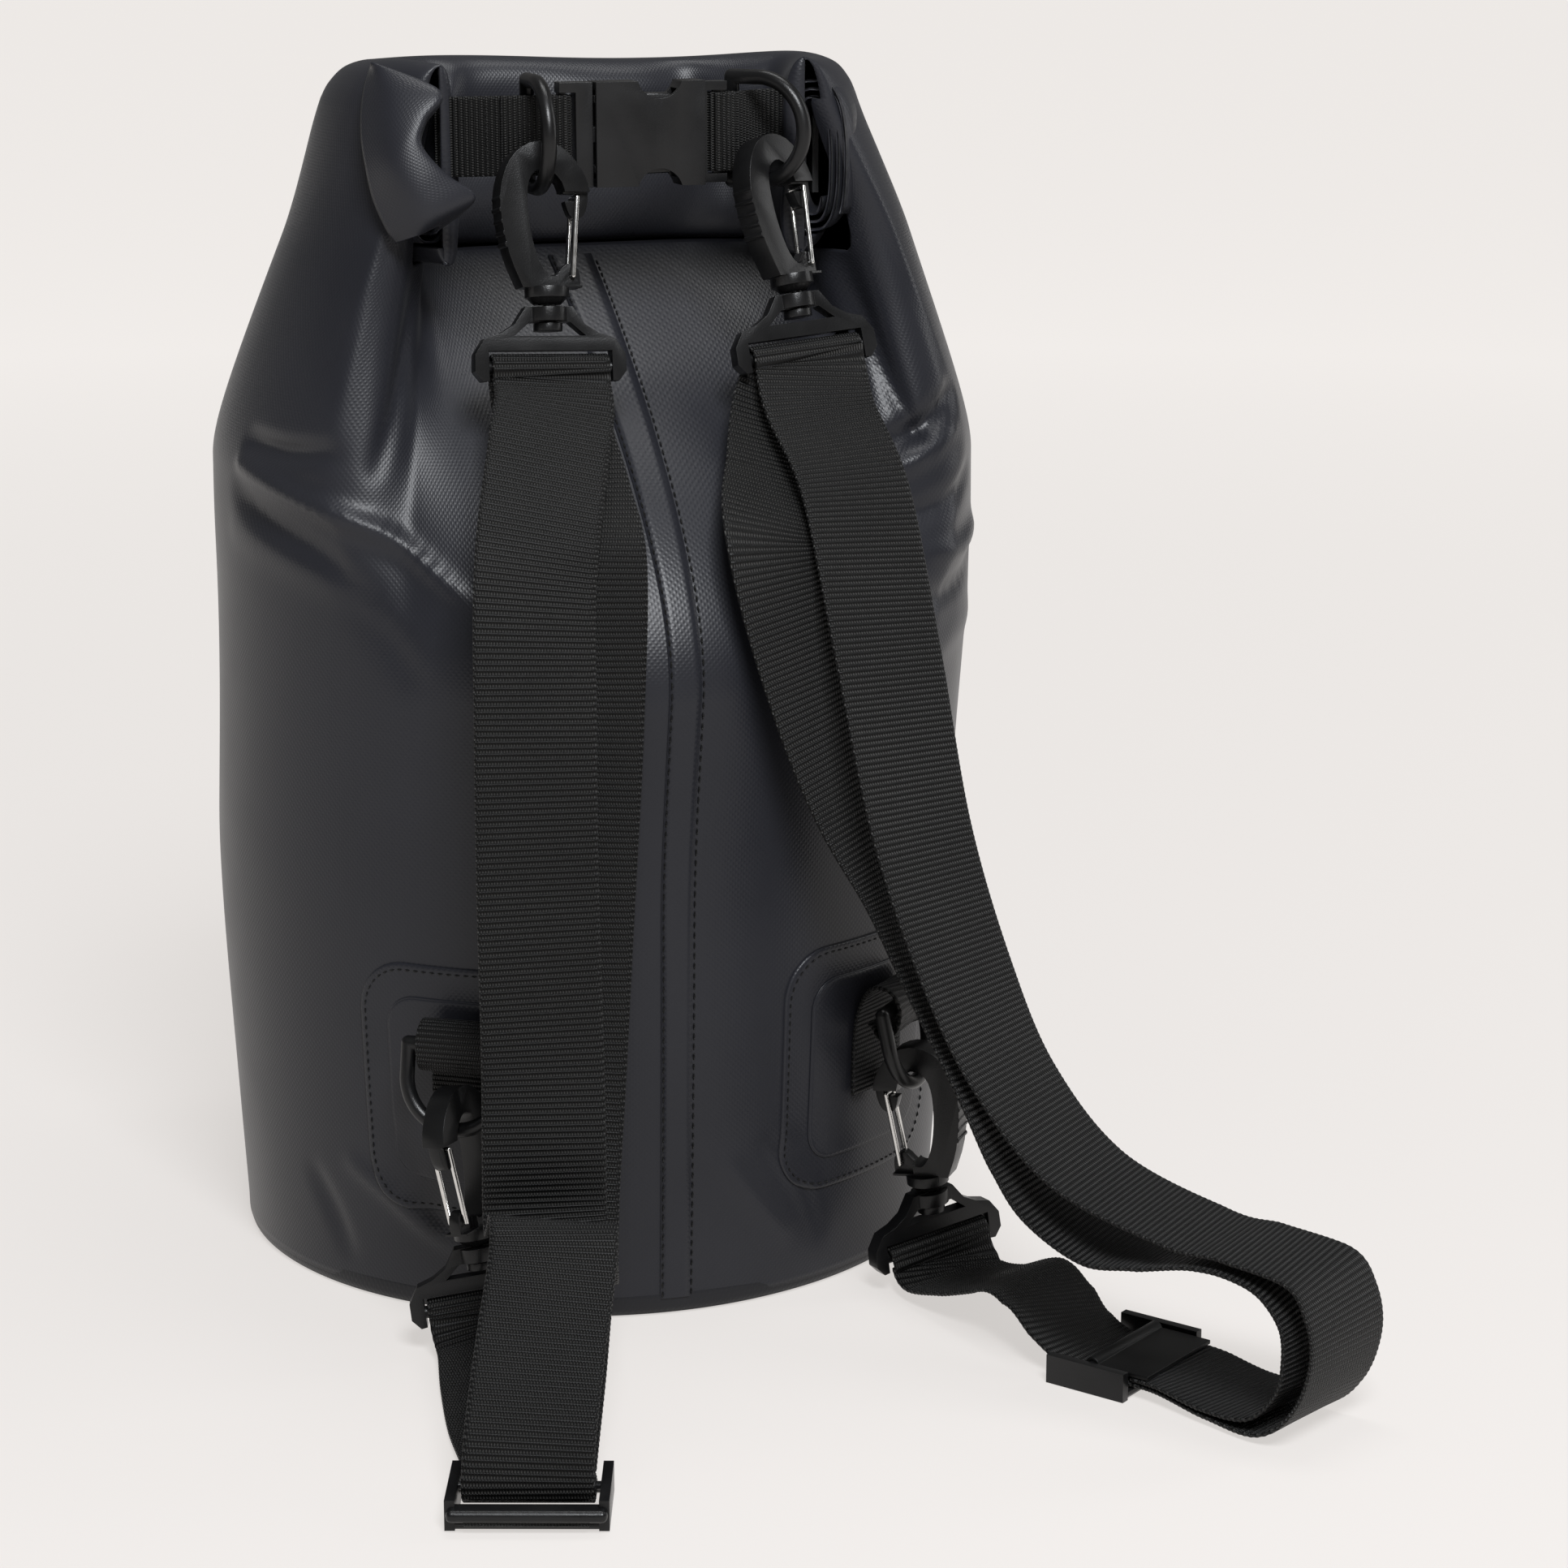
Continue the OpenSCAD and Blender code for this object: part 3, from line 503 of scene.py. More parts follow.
ANGLES = np.arange(0, 360, 1.0)
LEVELS = np.concatenate([np.arange(3.4, 220, 2.2), np.arange(220, ROLL_Z, 1.0), [ROLL_Z]])
# Over the roll: share of the back panel's distance behind it, distance in front of it, height over the mouth
COVER = [(1, 0, 50), (0.83, 0, 55), (0.5, 0, 60), (0, 0, 62), (0, -7, 59.5), (0, -11, 53), (0, -12.3, 42),
         (0, -12.5, 28), (0, -12.3, 14), (0, -10.5, 4), (0, -7, 0.5), (0, 0, 1.5), (0, 4, 6)]
COVER_BACK = 12.0       # the back panel's distance behind the roll, where the cover's length is counted from
SKIN_THICK = 0.0009     # metres


def cover_folds(s, h):
    """Ripples and two dents down the cover's front, from the share s along the mouth and the height h."""
    ripple = 1.2 * np.sin(s * 23 + h * 0.09) * np.sin(s * 9 + 1.3) + 0.7 * np.sin(s * 41 - h * 0.16)
    dent = 2.6 * np.exp(-((s - 0.3 - h * 0.0014) / 0.022) ** 2)
    bulge = 2.2 * np.exp(-((s - 0.72 + h * 0.002) / 0.03) ** 2)
    return ripple + (dent - bulge)


def carry_weave_round(skin):
    """Faces across the first column continue the weave instead of running back over it."""
    layer = skin.data.uv_layers["cloth"].data
    for poly in skin.data.polygons:
        corners = [layer[i] for i in poly.loop_indices]
        across = [one.uv[0] for one in corners]
        if max(across) - min(across) > GIRTH / 2:
            for one in corners:
                if one.uv[0] < GIRTH / 2:
                    one.uv[0] += GIRTH


def face_outwards(piece):
    work = bmesh.new()
    work.from_mesh(piece.data)
    bmesh.ops.recalc_face_normals(work, faces=work.faces)
    work.to_mesh(piece.data)
    work.free()


def bag_skin():
    """The tube from hem to mouth; its back carries on up over the roll and down its front."""
    rows, cols = len(LEVELS), len(ANGLES)
    a, level = np.meshgrid(ANGLES, LEVELS)
    a, z = a.ravel(), level_at(a.ravel(), level.ravel())
    points, _ = surface(a, z)
    faces = grid_faces(rows, cols, closed=True)
    arc = ANGLES / 360 * 2 * math.pi * TUBE_R
    uv = np.stack([np.tile(arc, rows), z], axis=1)
    # cover of the roll: its columns are the tube's own columns behind the mouth
    shares, back = mouth_share(ANGLES)
    order = sorted((k for k in range(cols) if back[k]), key=lambda k: shares[k])
    s = shares[order]
    m, o = mouth_mid(s), mouth_out(s)
    start, top_row = rows * cols, (rows - 1) * cols
    edge = points[top_row + np.array(order)]
    reach_0 = np.sum((edge[:, :2] - m) * o, axis=1)
    slide_0 = edge[:, :2] - m - o * reach_0[:, None]
    path = catmull(COVER, np.linspace(0, len(COVER) - 1, 73))[1:]
    tips = np.abs(np.sin(math.pi * s)) ** 0.16
    verts, uvs, length = [points], [uv], 0.0
    previous = np.array([COVER_BACK, BACK_TOP - ROLL_Z])
    for share, front, h in path:
        here = np.array([share * COVER_BACK + front, h])
        length += float(np.linalg.norm(here - previous))
        previous = here
        lift = 1.5 * np.sin(s * 7.5 + 0.6) + 0.7 * np.sin(s * 19)
        still_back = max(share, 0.0)        # the curve through COVER dips a little under 0
        reach = reach_0 * share + (front - cover_folds(s, h) * ease(-front / 10)) * tips
        xy = m + o * reach[:, None] + slide_0 * still_back
        height = ROLL_Z + h + lift * ease((h - 20) / 40) * (1 - still_back)
        verts.append(np.hstack([xy, height[:, None]]))
        uvs.append(np.stack([arc[order], np.full(len(order), BACK_TOP + length)], axis=1))
    wide = len(order)
    for k in range(wide - 1):
        faces.append((top_row + order[k], start + k, start + k + 1, top_row + order[k + 1]))
    for i in range(len(path) - 1):
        a = start + i * wide
        for k in range(wide - 1):
            faces.append((a + k, a + wide + k, a + wide + k + 1, a + k + 1))
    skin = make_object("bag_skin", np.vstack(verts), faces, SKIN, np.vstack(uvs))
    carry_weave_round(skin)
    face_outwards(skin)
    add_modifier(skin, "SOLIDIFY", thickness=SKIN_THICK, offset=-1.0)
    return finish_piece(skin, ROOT, "tarpaulin", "bag_tube")


ROLL_TURNS = 3.0
ROLL_HALF_WIDE, ROLL_HALF_TALL = 13.0, 25.5     # the outermost turn's half width and half height
LAYER_THICK = 0.8


def roll_spiral():
    """The roll's section, (behind the mouth, height over it): a flattened spiral that shrinks inwards."""
    spiral = []
    for turn in np.linspace(0, ROLL_TURNS, 130):
        a = math.pi * 2 * turn - 0.7
        c, s = math.cos(a), math.sin(a)
        wide = ROLL_HALF_WIDE * (1 - turn * 0.22) * math.copysign(abs(c) ** 0.7, c)
        tall = ROLL_HALF_TALL * (1 - turn * 0.1) * math.copysign(abs(s) ** 0.8, s)
        spiral.append((wide + 2.0, ROLL_H / 2 + tall))
    return np.array(spiral)


def roll_layers():
    """The mouth's inner turns, which show at the roll's two open ends."""
    stations = np.linspace(0.03, 0.97, 150)
    spiral = roll_spiral()
    tangent = rows_unit(np.gradient(spiral, axis=0))
    side_step = np.stack([-tangent[:, 1], tangent[:, 0]], axis=1) * LAYER_THICK / 2
    loop = np.vstack([spiral + side_step, (spiral - side_step)[::-1]])
    m, o = mouth_mid(stations), mouth_out(stations)
    rows = []
    for k, s in enumerate(stations):
        squeeze = 0.72 + 0.28 * ease(min(s, 1 - s) / 0.06)
        xy = m[k] + o[k] * (loop[:, 0] * squeeze)[:, None]
        rows.append(np.hstack([xy, (ROLL_Z + loop[:, 1])[:, None]]))
    verts = np.vstack(rows)
    cols = len(loop)
    faces = grid_faces(len(stations), cols, closed=True)
    faces += [tuple(range(cols)), tuple(range(len(verts) - 1, len(verts) - cols - 1, -1))]
    uv = np.stack([np.repeat(stations * 270, cols), np.tile(np.arange(cols) * 1.5, len(stations))], axis=1)
    piece = make_object("roll_layers", verts, faces, SKIN, uv)
    return finish_piece(piece, ROOT, "tarpaulin", "roll_top")


# The wing of the bag folded across the roll's left end: its inner edge, its ridge, its free edge and the
# underside of that edge, each from top to bottom. A scratch script first placed these points from the photo;
# they were then moved by hand.
FOLD_INNER = [(-79, -44, 397.6), (-82.5, -48, 389.4), (-84.5, -53, 378.6), (-84.5, -59, 367.8),
              (-83, -62, 357.9), (-80, -65, 349.5), (-77, -65, 345)]
FOLD_RIDGE = [(-79.6, -48, 399), (-76.5, -60, 390.7), (-78.5, -66, 379.7), (-78.5, -70.5, 370),
              (-74.5, -74, 360.9), (-69.6, -75.5, 353.8), (-72, -71.5, 347.6)]
FOLD_EDGE = [(-79.7, -49, 399.4), (-63.3, -65, 391.6), (-69, -69.5, 383), (-71, -72, 375.5),
             (-64, -74.5, 366.2), (-54.5, -74, 359), (-65, -71, 350.6)]
FOLD_UNDER = [(-77.7, -47, 397.4), (-61.8, -61, 389.6), (-67.2, -65.5, 381.2), (-69, -68, 373.7),
              (-62, -70.5, 364.4), (-55, -70, 356.8), (-64, -67, 348.8)]


def end_fold():
    """The folded wing as one sheet through its four lines."""
    down, across = 49, 25
    edges = (FOLD_INNER, FOLD_RIDGE, FOLD_EDGE, FOLD_UNDER)
    lines = [catmull(edge, np.linspace(0, len(edge) - 1, down)) for edge in edges]
    rows = [catmull([line[i] for line in lines], np.linspace(0, len(edges) - 1, across)) for i in range(down)]
    u, v = np.meshgrid(np.linspace(0, 60, across), np.linspace(0, 75, down))
    uv = np.stack([u.ravel(), v.ravel()], axis=1)
    flap = make_object("end_fold", np.vstack(rows), grid_faces(down, across), SKIN, uv)
    add_modifier(flap, "SOLIDIFY", thickness=SKIN_THICK, offset=0.0)
    return finish_piece(flap, ROOT, "tarpaulin")


bag_skin()
roll_layers()
end_fold()


# ------------------------------------------------------------------ weld strip, patches, hem
def skin_at(angle, z, out):
    """Points off the finished skin and its outward direction, at paired angles and heights."""
    p, normal = surface(angle, z)
    return p + normal * out, normal


def tube_line(name, points, radius, mat, closed=False):
    """A fine welded or sewn line through the points, in mm."""
    curve = bpy.data.curves.new(name, "CURVE")
    curve.dimensions = "3D"
    curve.bevel_depth = radius * MM
    curve.bevel_resolution = 1
    spline = curve.splines.new("POLY")
    spline.points.add(len(points) - 1)
    for target, p in zip(spline.points, points):
        target.co = (p[0] * MM, p[1] * MM, p[2] * MM, 1)
    spline.use_cyclic_u = closed
    curve.materials.append(mat)
    made = bpy.data.objects.new(name, curve)
    bpy.context.scene.collection.objects.link(made)
    bpy.context.view_layer.update()
    mesh = bpy.data.meshes.new_from_object(made.evaluated_get(bpy.context.evaluated_depsgraph_get()))
    bpy.data.objects.remove(made)
    piece = bpy.data.objects.new(name, mesh)
    mesh.materials.clear()
    mesh.materials.append(mat)
    bpy.context.scene.collection.objects.link(piece)
    return piece


def stitches(name, points, ups, length, pitch, radius, body):
    """A row of thread stitches: short humps that dive in at both ends."""
    points, ups = np.asarray(points, float), np.asarray(ups, float)
    at = np.concatenate([[0], np.cumsum(np.linalg.norm(np.diff(points, axis=0), axis=1))])
    verts, faces = [], []
    rings, sides = 7, 6
    for start in np.arange(0.3, at[-1] - length, pitch):
        t = np.linspace(start, start + length, rings)
        mid = np.stack([np.interp(t, at, points[:, c]) for c in range(3)], axis=1)
        up = rows_unit(np.stack([np.interp(t, at, ups[:, c]) for c in range(3)], axis=1))
        along = rows_unit(np.gradient(mid, axis=0))
        across = np.cross(along, up)
        hump = np.sin(np.linspace(0, math.pi, rings))
        base = len(verts)
        for k in range(rings):
            r = radius * (0.45 + 0.55 * hump[k])
            centre = mid[k] + up[k] * (hump[k] * radius * 0.9 - radius * 0.4)
            for q in range(sides):
                a = 2 * math.pi * q / sides
                verts.append(centre + across[k] * math.cos(a) * r + up[k] * math.sin(a) * r)
        faces += grid_faces(rings, sides, closed=True, start=base)
        faces.append(tuple(base + q for q in range(sides - 1, -1, -1)))
        faces.append(tuple(base + (rings - 1) * sides + q for q in range(sides)))
    uv = np.stack([np.arange(len(verts)) * 0.1, np.arange(len(verts)) * 0.15], axis=1)
    return finish_piece(make_object(name, verts, faces, THREAD, uv), body, "webbing")


SEAM = 267.5            # angle of the weld strip
SEAM_HALF = 5.2         # half its width


def seam_strip():
    """The weld strip up the front, with a stitched line along either edge."""
    levels = np.arange(6, 333, 1.6)
    reach = np.array([-1.0, -0.97, -0.5, 0, 0.5, 0.97, 1.0])
    rows = []
    for r in reach:
        out = 0.05 if abs(r) == 1.0 else 0.75
        angle = SEAM + r * SEAM_HALF / TUBE_R * DEGREES
        rows.append(skin_at(np.full(len(levels), angle), levels, out)[0])
    verts = np.stack(rows, axis=1).reshape(-1, 3)
    faces = grid_faces(len(levels), len(reach))
    uv = np.stack([np.tile(reach * SEAM_HALF, len(levels)), np.repeat(levels, len(reach))], axis=1)
    strip = make_object("weld_strip", verts, faces, WELD, uv)
    finish_piece(strip, ROOT, "tarpaulin", "seam_strip")
    for name, r in (("seam_stitch_right", 1.12), ("seam_stitch_left", -0.86)):
        angle = np.full(len(levels), SEAM + r * SEAM_HALF / TUBE_R * DEGREES)
        pts, ups = skin_at(angle, levels, 0.2 if r > 0 else 0.9)
        stitches(name, pts, ups, 2.3, 3.4, 0.34, ROOT)


def rounded(half_w, half_h, radius, count):
    """Outline of a rectangle with round corners, as (across, up) pairs at even angles."""
    out = []
    for quarter in range(4):
        cx = (half_w - radius) * (1 if quarter in (0, 3) else -1)
        cy = (half_h - radius) * (1 if quarter in (0, 1) else -1)
        for k in range(count):
            a = math.pi / 2 * (quarter + k / (count - 1))
            out.append((cx + radius * math.cos(a), cy + radius * math.sin(a)))
    return np.array(out)


def resample_closed(points, step):
    pts = np.vstack([points, points[:1]])
    at = np.concatenate([[0], np.cumsum(np.linalg.norm(np.diff(pts, axis=0), axis=1))])
    t = np.arange(0, at[-1], step)
    return np.stack([np.interp(t, at, pts[:, c]) for c in range(pts.shape[1])], axis=1)


def patch(name, angle_c, z_c, half_w, half_h, radius, low, high, *replaced):
    """A welded patch that follows the skin, with a softly rolled edge."""
    outline = resample_closed(rounded(half_w, half_h, radius, 12), 2.0)
    scales = [1.0, 1.0, 0.985, 0.96, 0.8, 0.6, 0.4, 0.2, 0.02]
    lifts = [low - 0.4, low + (high - low) * 0.6, high, high, high, high, high, high, high]
    verts, uvs = [], []
    for scale, lift in zip(scales, lifts):
        angle = angle_c + outline[:, 0] * scale / TUBE_R * DEGREES
        pts, _ = skin_at(angle, z_c + outline[:, 1] * scale, lift)
        verts.append(pts)
        uvs.append(outline * scale)
    cols = len(outline)
    faces = grid_faces(len(scales), cols, closed=True)
    faces.append(tuple((len(scales) - 1) * cols + k for k in range(cols)))
    piece = make_object(name, np.vstack(verts), faces, WELD, np.vstack(uvs))
    return finish_piece(piece, ROOT, "tarpaulin", *replaced)


PATCH_ANGLES = {"left": 237.0, "right": 303.0}
PATCH_Z = 77                # middle of the patches
OUTER_PATCH = (40, 42, 17)  # half width, half height, corner radius
INNER_PATCH = (29, 31, 10)
PATCH_SEAM = (38, 40, 15.5)


def patches():
    for label, angle in PATCH_ANGLES.items():
        patch("patch_" + label, angle, PATCH_Z, *OUTER_PATCH, 0.1, 0.85, "patch_outer_" + label)
        patch("patch_top_" + label, angle, PATCH_Z, *INNER_PATCH, 0.9, 1.5, "patch_inner_" + label)
        line = resample_closed(rounded(*PATCH_SEAM, 12), 1.2)
        line = np.vstack([line, line[:1]])
        pts, ups = skin_at(angle + line[:, 0] / TUBE_R * DEGREES, PATCH_Z + line[:, 1], 0.86)
        stitches("patch_stitch_" + label, pts, ups, 1.9, 2.9, 0.3, ROOT)
        ring = resample_closed(rounded(*INNER_PATCH, 12), 1.6)
        pts, _ = skin_at(angle + ring[:, 0] / TUBE_R * DEGREES, PATCH_Z + ring[:, 1], 1.0)
        piece = tube_line("patch_bead_" + label, pts, 0.4, WELD, closed=True)
        finish_piece(piece, ROOT, "tarpaulin")


def turned(name, profile, mat, steps=220):
    """A ring or disc turned about the bag's axis from (radius, height) points."""
    profile = np.asarray(profile, float)
    verts, uvs = [], []
    for a in np.radians(np.arange(steps) * 360 / steps):
        sway = 1 + 0.0016 * math.sin(3 * a + 1) + 0.0012 * math.sin(7 * a)      # not quite round
        out = profile[:, 0] * sway
        verts.append(np.stack([out * math.cos(a), out * math.sin(a), profile[:, 1]], axis=1))
        around, along = np.full(len(profile), a * BASE_R), np.cumsum(np.ones(len(profile)) * 2)
        uvs.append(np.stack([around, along], axis=1))
    verts = np.vstack(verts)
    cols = len(profile)
    faces = grid_faces(steps, cols)
    faces += [((steps - 1) * cols + k, (steps - 1) * cols + k + 1, k + 1, k) for k in range(cols - 1)]
    return make_object(name, verts, faces, mat, np.vstack(uvs))


def base():
    hem = turned("base_hem", [(113, 0.2), (117.5, 0.1), (119.2, 0.9), (119.8, 3), (119.9, 6.5),
                              (119.4, 8.6), (118.6, 9.4), (117.2, 9.6), (116.2, 8.8)], HEM)
    finish_piece(hem, ROOT, "base_fabric", "base_rim")
    disc = turned("base_panel", [(0.5, 1.6), (40, 1.5), (80, 1.3), (100, 1.0), (108, 0.5), (112, 0.1),
                                 (115.4, 0.1), (115.4, 2.9), (100, 3.0), (60, 3.0), (0.5, 3.0)], HEM)
    finish_piece(disc, ROOT, "base_fabric", "base_disc")


seam_strip()
patches()
base()


# ------------------------------------------------------------------ webbing
# Strap loops: bar centre, lean about X and Y, turn of the loop
LOOPS = {"top_left": ((-32.5, -81.2, 306.2), (-12, 2), 0),
         "top_right": ((53, -79, 307.2), (-15, -6), 6),
         "low_left": ((-70, -128.8, 16.1), (-8.2, -7.4), -14),
         "low_right": ((86, -118.2, 13.8), (-0.4, -7.1), 12)}


def in_loop(corner, y, z):
    """A route point beside a strap loop's bar, given across and above the bar in the loop's own frame."""
    centre, lean_xy, turn = LOOPS[corner]
    x_turn, y_turn, z_turn = (math.radians(a) for a in (*lean_xy, turn))
    turned_loop = Euler((x_turn, y_turn, 0)).to_matrix() @ Euler((0, 0, z_turn)).to_matrix()
    p = Vector(centre) + turned_loop @ Vector((0, y, z))
    bar = turned_loop @ Vector((1, 0, 0))
    return (*p, math.degrees(math.atan2(bar.y, bar.x)), math.degrees(math.asin(bar.z)))


def wrap(corner):
    """Half a turn of webbing round the bar, front face to back face."""
    around = [(-3.1, -5), (-3.4, -1), (-2.7, 2.1), (0, 3.5), (2.7, 2.1), (3.4, -1), (3.1, -5)]
    return [in_loop(corner, y, z) for y, z in around]


def sewn_start(corner):
    """The strap's sewn end: over the bar from its back face and down the front."""
    around = [(3.3, -1), (2.6, 2.1), (0, 3.4), (-2.8, 2.1), (-4, -1.4), (-4.9, -5.4)]
    return [in_loop(corner, y, z) for y, z in around]


# Routes: (x, y, z, turn of the width in degrees, its rise)
ROUTE_RIGHT = sewn_start("low_right") + [
    (88, -131, 6, 16, 4), (91.6, -146, 9.6, 24, 0), (97.6, -166, 17.5, 32, 0),
    (101.2, -180, 15.5, 34.8, 0), (104.2, -191.4, 9.8, 34.8, 0), (109.3, -201.3, 4.9, 34.8, 0),
    (115, -209.5, 4.4, 34.8, 0), (127.5, -227.5, 4.4, 34.8, 0), (137, -249, 2.6, 32, 0),
    (145.4, -267.5, 3.4, 29.4, 0),
    (152.7, -276.2, 14, 29.4, 0), (155.8, -279.9, 30, 29.4, 0), (154.4, -278.2, 43.3, 29.4, 0),
    (149.6, -272.4, 52.6, 29.4, 0), (136, -256.3, 56.2, 29.4, 0), (123.4, -241.3, 57.6, 29.4, 0),
    (99.8, -213.2, 69.2, 29.4, 0), (83.5, -193.8, 93.6, 28, 0), (72.4, -179.6, 125, 22, 0),
    (63.4, -162, 168, 16, 0),
    (59, -141.8, 222, 10, 0), (57.4, -116, 268, 8, 2), (53.6, -93, 291, 6, 4)] + wrap("top_right") + [
    (46.2, -84, 289, 8, 2), (38, -102, 272, 10, 0), (30, -124, 252, 12, 0), (39, -134, 210, 12, 0),
    (52.4, -140, 171.7, 14, 0), (63.9, -150.7, 145.2, 18, 0), (70.4, -165.5, 121.8, 24, 0),
    (79.6, -188.4, 91, 28, 0), (86.9, -197.4, 70, 29.4, 0), (94.1, -206, 56.2, 29.4, 0),
    (106.1, -220.4, 46.6, 29.4, 0),
    (116.9, -233.5, 47.4, 29.4, 0), (129.3, -248.4, 51.4, 29.4, 0), (137.8, -258.5, 51.2, 29.4, 0),
    (144.5, -266.5, 47.4, 29.4, 0), (149.2, -272, 38.6, 29.4, 0), (150, -273, 27.6, 29.4, 0),
    (148.6, -271.4, 17, 29.4, 0), (143.4, -263.6, 7.2, 29.4, 0), (136, -248, 5, 32, 0),
    (128.5, -231, 6.3, 34.8, 0),
    (124, -222.4, 6.3, 34.8, 0)]
ROUTE_LEFT = sewn_start("low_left") + [
    (-70.4, -142, 5.4, -14, 3), (-75, -165, 2.2, -14, 0), (-80, -195, 1.6, -15, 0), (-83, -222, 3.2, -16, 0),
    (-85.7, -241, 4.65, -18.8, 0), (-89, -252, 4.65, -18.8, 0), (-90.5, -256.2, 5.4, -18.8, 0),
    (-91.5, -259, 8.4, -18.8, 0), (-91.3, -258.4, 14, -18.8, 0),
    (-88.6, -252, 25, -18.8, 0), (-79.5, -231, 43, -19, -2), (-71, -212.6, 58.8, -20, -3),
    (-68, -204, 66, -21, -4), (-66.5, -196, 66, -21, -4), (-65, -187, 59, -20, -3),
    (-63.5, -178.6, 56, -17, -2),
    (-62.5, -173, 63, -12, 0), (-62, -171.4, 78, -8, 0), (-60, -164, 108, -4, 0), (-58.6, -156, 157, -2, 0),
    (-56.4, -148, 205, -2, 0), (-52, -134, 250, -1, 0), (-40, -107, 284, 0, -1),
    (-34.2, -93, 295.6, 0, -2)] + wrap("top_left") + [
    (-33, -86, 290, 2, -1), (-32.4, -106, 272, 4, 0), (-33, -127, 250, 6, 0), (-36.5, -134, 200, 6, 0),
    (-42, -141, 150, 4, 0), (-47.5, -147.6, 100, 0, 0), (-53, -156, 66, -8, 0), (-57, -166, 46, -14, -2),
    (-60.4, -178, 41, -18, -3), (-63.4, -188.5, 46, -20, -4), (-66, -197, 54, -21, -4),
    (-69, -205, 53, -21, -4), (-73, -214, 45, -20, -2), (-78.4, -227, 32, -19, 0), (-84, -239, 18, -18.8, 0),
    (-87.2, -246.4, 11, -18.8, 0)]


def straps():
    for label, route in (("left", ROUTE_LEFT), ("right", ROUTE_RIGHT)):
        piece = strap_mesh("strap_web_" + label, route, 38, 1.15, WEB)
        finish_piece(piece, ROOT, "webbing", "strap_" + label)


def tape(name, route):
    """The 25 mm webbing of the closure and the tabs."""
    return strap_mesh(name, route, 25, 1.2, TAPE, rib=1.6, step=0.4, rib_depth=0.08)


CLOSURE_Z = 376.5       # middle of the closure webbing, which lies on edge: its (x, y) points
WEB_LEFT = [(-61, -53.4), (-54, -56.2), (-42, -56.8), (-31, -56.7), (-24, -55.5), (-20.4, -55.6),
            (-18.3, -58), (-20.4, -60.4), (-24, -60.4), (-28, -59.4), (-33, -58.5), (-41, -58.5)]
WEB_RIGHT = [(60, -49.2), (53, -49.5), (46, -51.3), (40.4, -55.1), (36.2, -57.1), (33.4, -55.6),
             (29.4, -55.6), (27.3, -58), (29.4, -60.4), (32.4, -60.4), (36, -59.6)]


SLIDER_TURN = -18.8     # degrees the left slider is turned


def slider_wrap():
    """The short turn of webbing between the left slider's bars."""
    points = [(-90.6, -256.4, 2.6), (-91.8, -260, 1.9), (-93, -263.6, 2.1), (-94.2, -267.2, 3.4)]
    route = [(*point, SLIDER_TURN, 0) for point in points]
    piece = strap_mesh("slider_wrap_left", route, 36, 1.4, WEB, rib_depth=0.12)
    finish_piece(piece, ROOT, "webbing")


def slider_bar():
    """The left slider's rounded front bar, which holds the webbing's turn down."""
    long, deep, tall = 23.0, 3.6, 1.9       # half sizes
    centre = Vector((-93.4, -265.0, 5.6))
    corners = [(x, y, z) for z in (-tall, tall) for y in (-deep, deep) for x in (-long, long)]
    heading = Euler((0, 0, math.radians(SLIDER_TURN))).to_matrix()
    verts = [tuple(centre + heading @ Vector(c)) for c in corners]
    faces = [(0, 2, 3, 1), (4, 5, 7, 6), (0, 1, 5, 4), (2, 6, 7, 3), (0, 4, 6, 2), (1, 3, 7, 5)]
    bar = make_object("slider_bar_left", verts, faces, PLASTIC)
    add_modifier(bar, "BEVEL", width=0.0017, segments=4, limit_method="ANGLE", harden_normals=True)
    finish_piece(bar, ROOT, "plastic")


def closure_webs():
    for label, plan in (("left", WEB_LEFT), ("right", WEB_RIGHT)):
        route = [(x, y, CLOSURE_Z, 90, 90) for x, y in plan]
        piece = tape("closure_tape_" + label, route)
        finish_piece(piece, ROOT, "webbing", "closure_web_" + label)
    count = 30
    heights = np.linspace(CLOSURE_Z - 11.8, CLOSURE_Z + 11.8, count)
    row = np.stack([np.full(count, -45.5), np.full(count, -57.4), heights], axis=1)
    stitches("closure_stitch", row, np.tile((0, -1, 0), (count, 1)), 2.0, 2.8, 0.32, ROOT)


TAB_BAR = 137.0         # distance of the low D-rings' bars from the bag's axis
TAB_SKEW = {"left": 0.0, "right": 15.0}     # degrees the width turns on its way round the bar


def tabs():
    """Webbing out of each patch, down, round the D-ring's bar and back up."""
    # distance from the bag's axis, height, share of the turn
    path = [(TAB_BAR - 5.4, 91, 0.6), (TAB_BAR - 1.5, 88.6, 1), (TAB_BAR + 3.2, 91.2, 1),
            (TAB_BAR + 5, 97, 1), (TAB_BAR + 3, 102.2, 1), (TAB_BAR - 2, 104.2, 0.9),
            (TAB_BAR - 7, 102, 0.6), (127.6, 94, 0.2), (126.8, 84, 0), (126.4, 66, 0)]
    for label, angle in PATCH_ANGLES.items():
        c, s = math.cos(math.radians(angle)), math.sin(math.radians(angle))
        route = [(c * r, s * r, z, angle + 90 + TAB_SKEW[label] * k, 0) for r, z, k in path]
        piece = tape("tab_tape_" + label, route)
        finish_piece(piece, ROOT, "webbing", "tab_" + label)


straps()
closure_webs()
slider_wrap()
slider_bar()
tabs()


# ------------------------------------------------------------------ moulded hardware
SHARP = math.radians(38.0)      # edges sharper than this are rounded, or kept sharp where bevel is 0


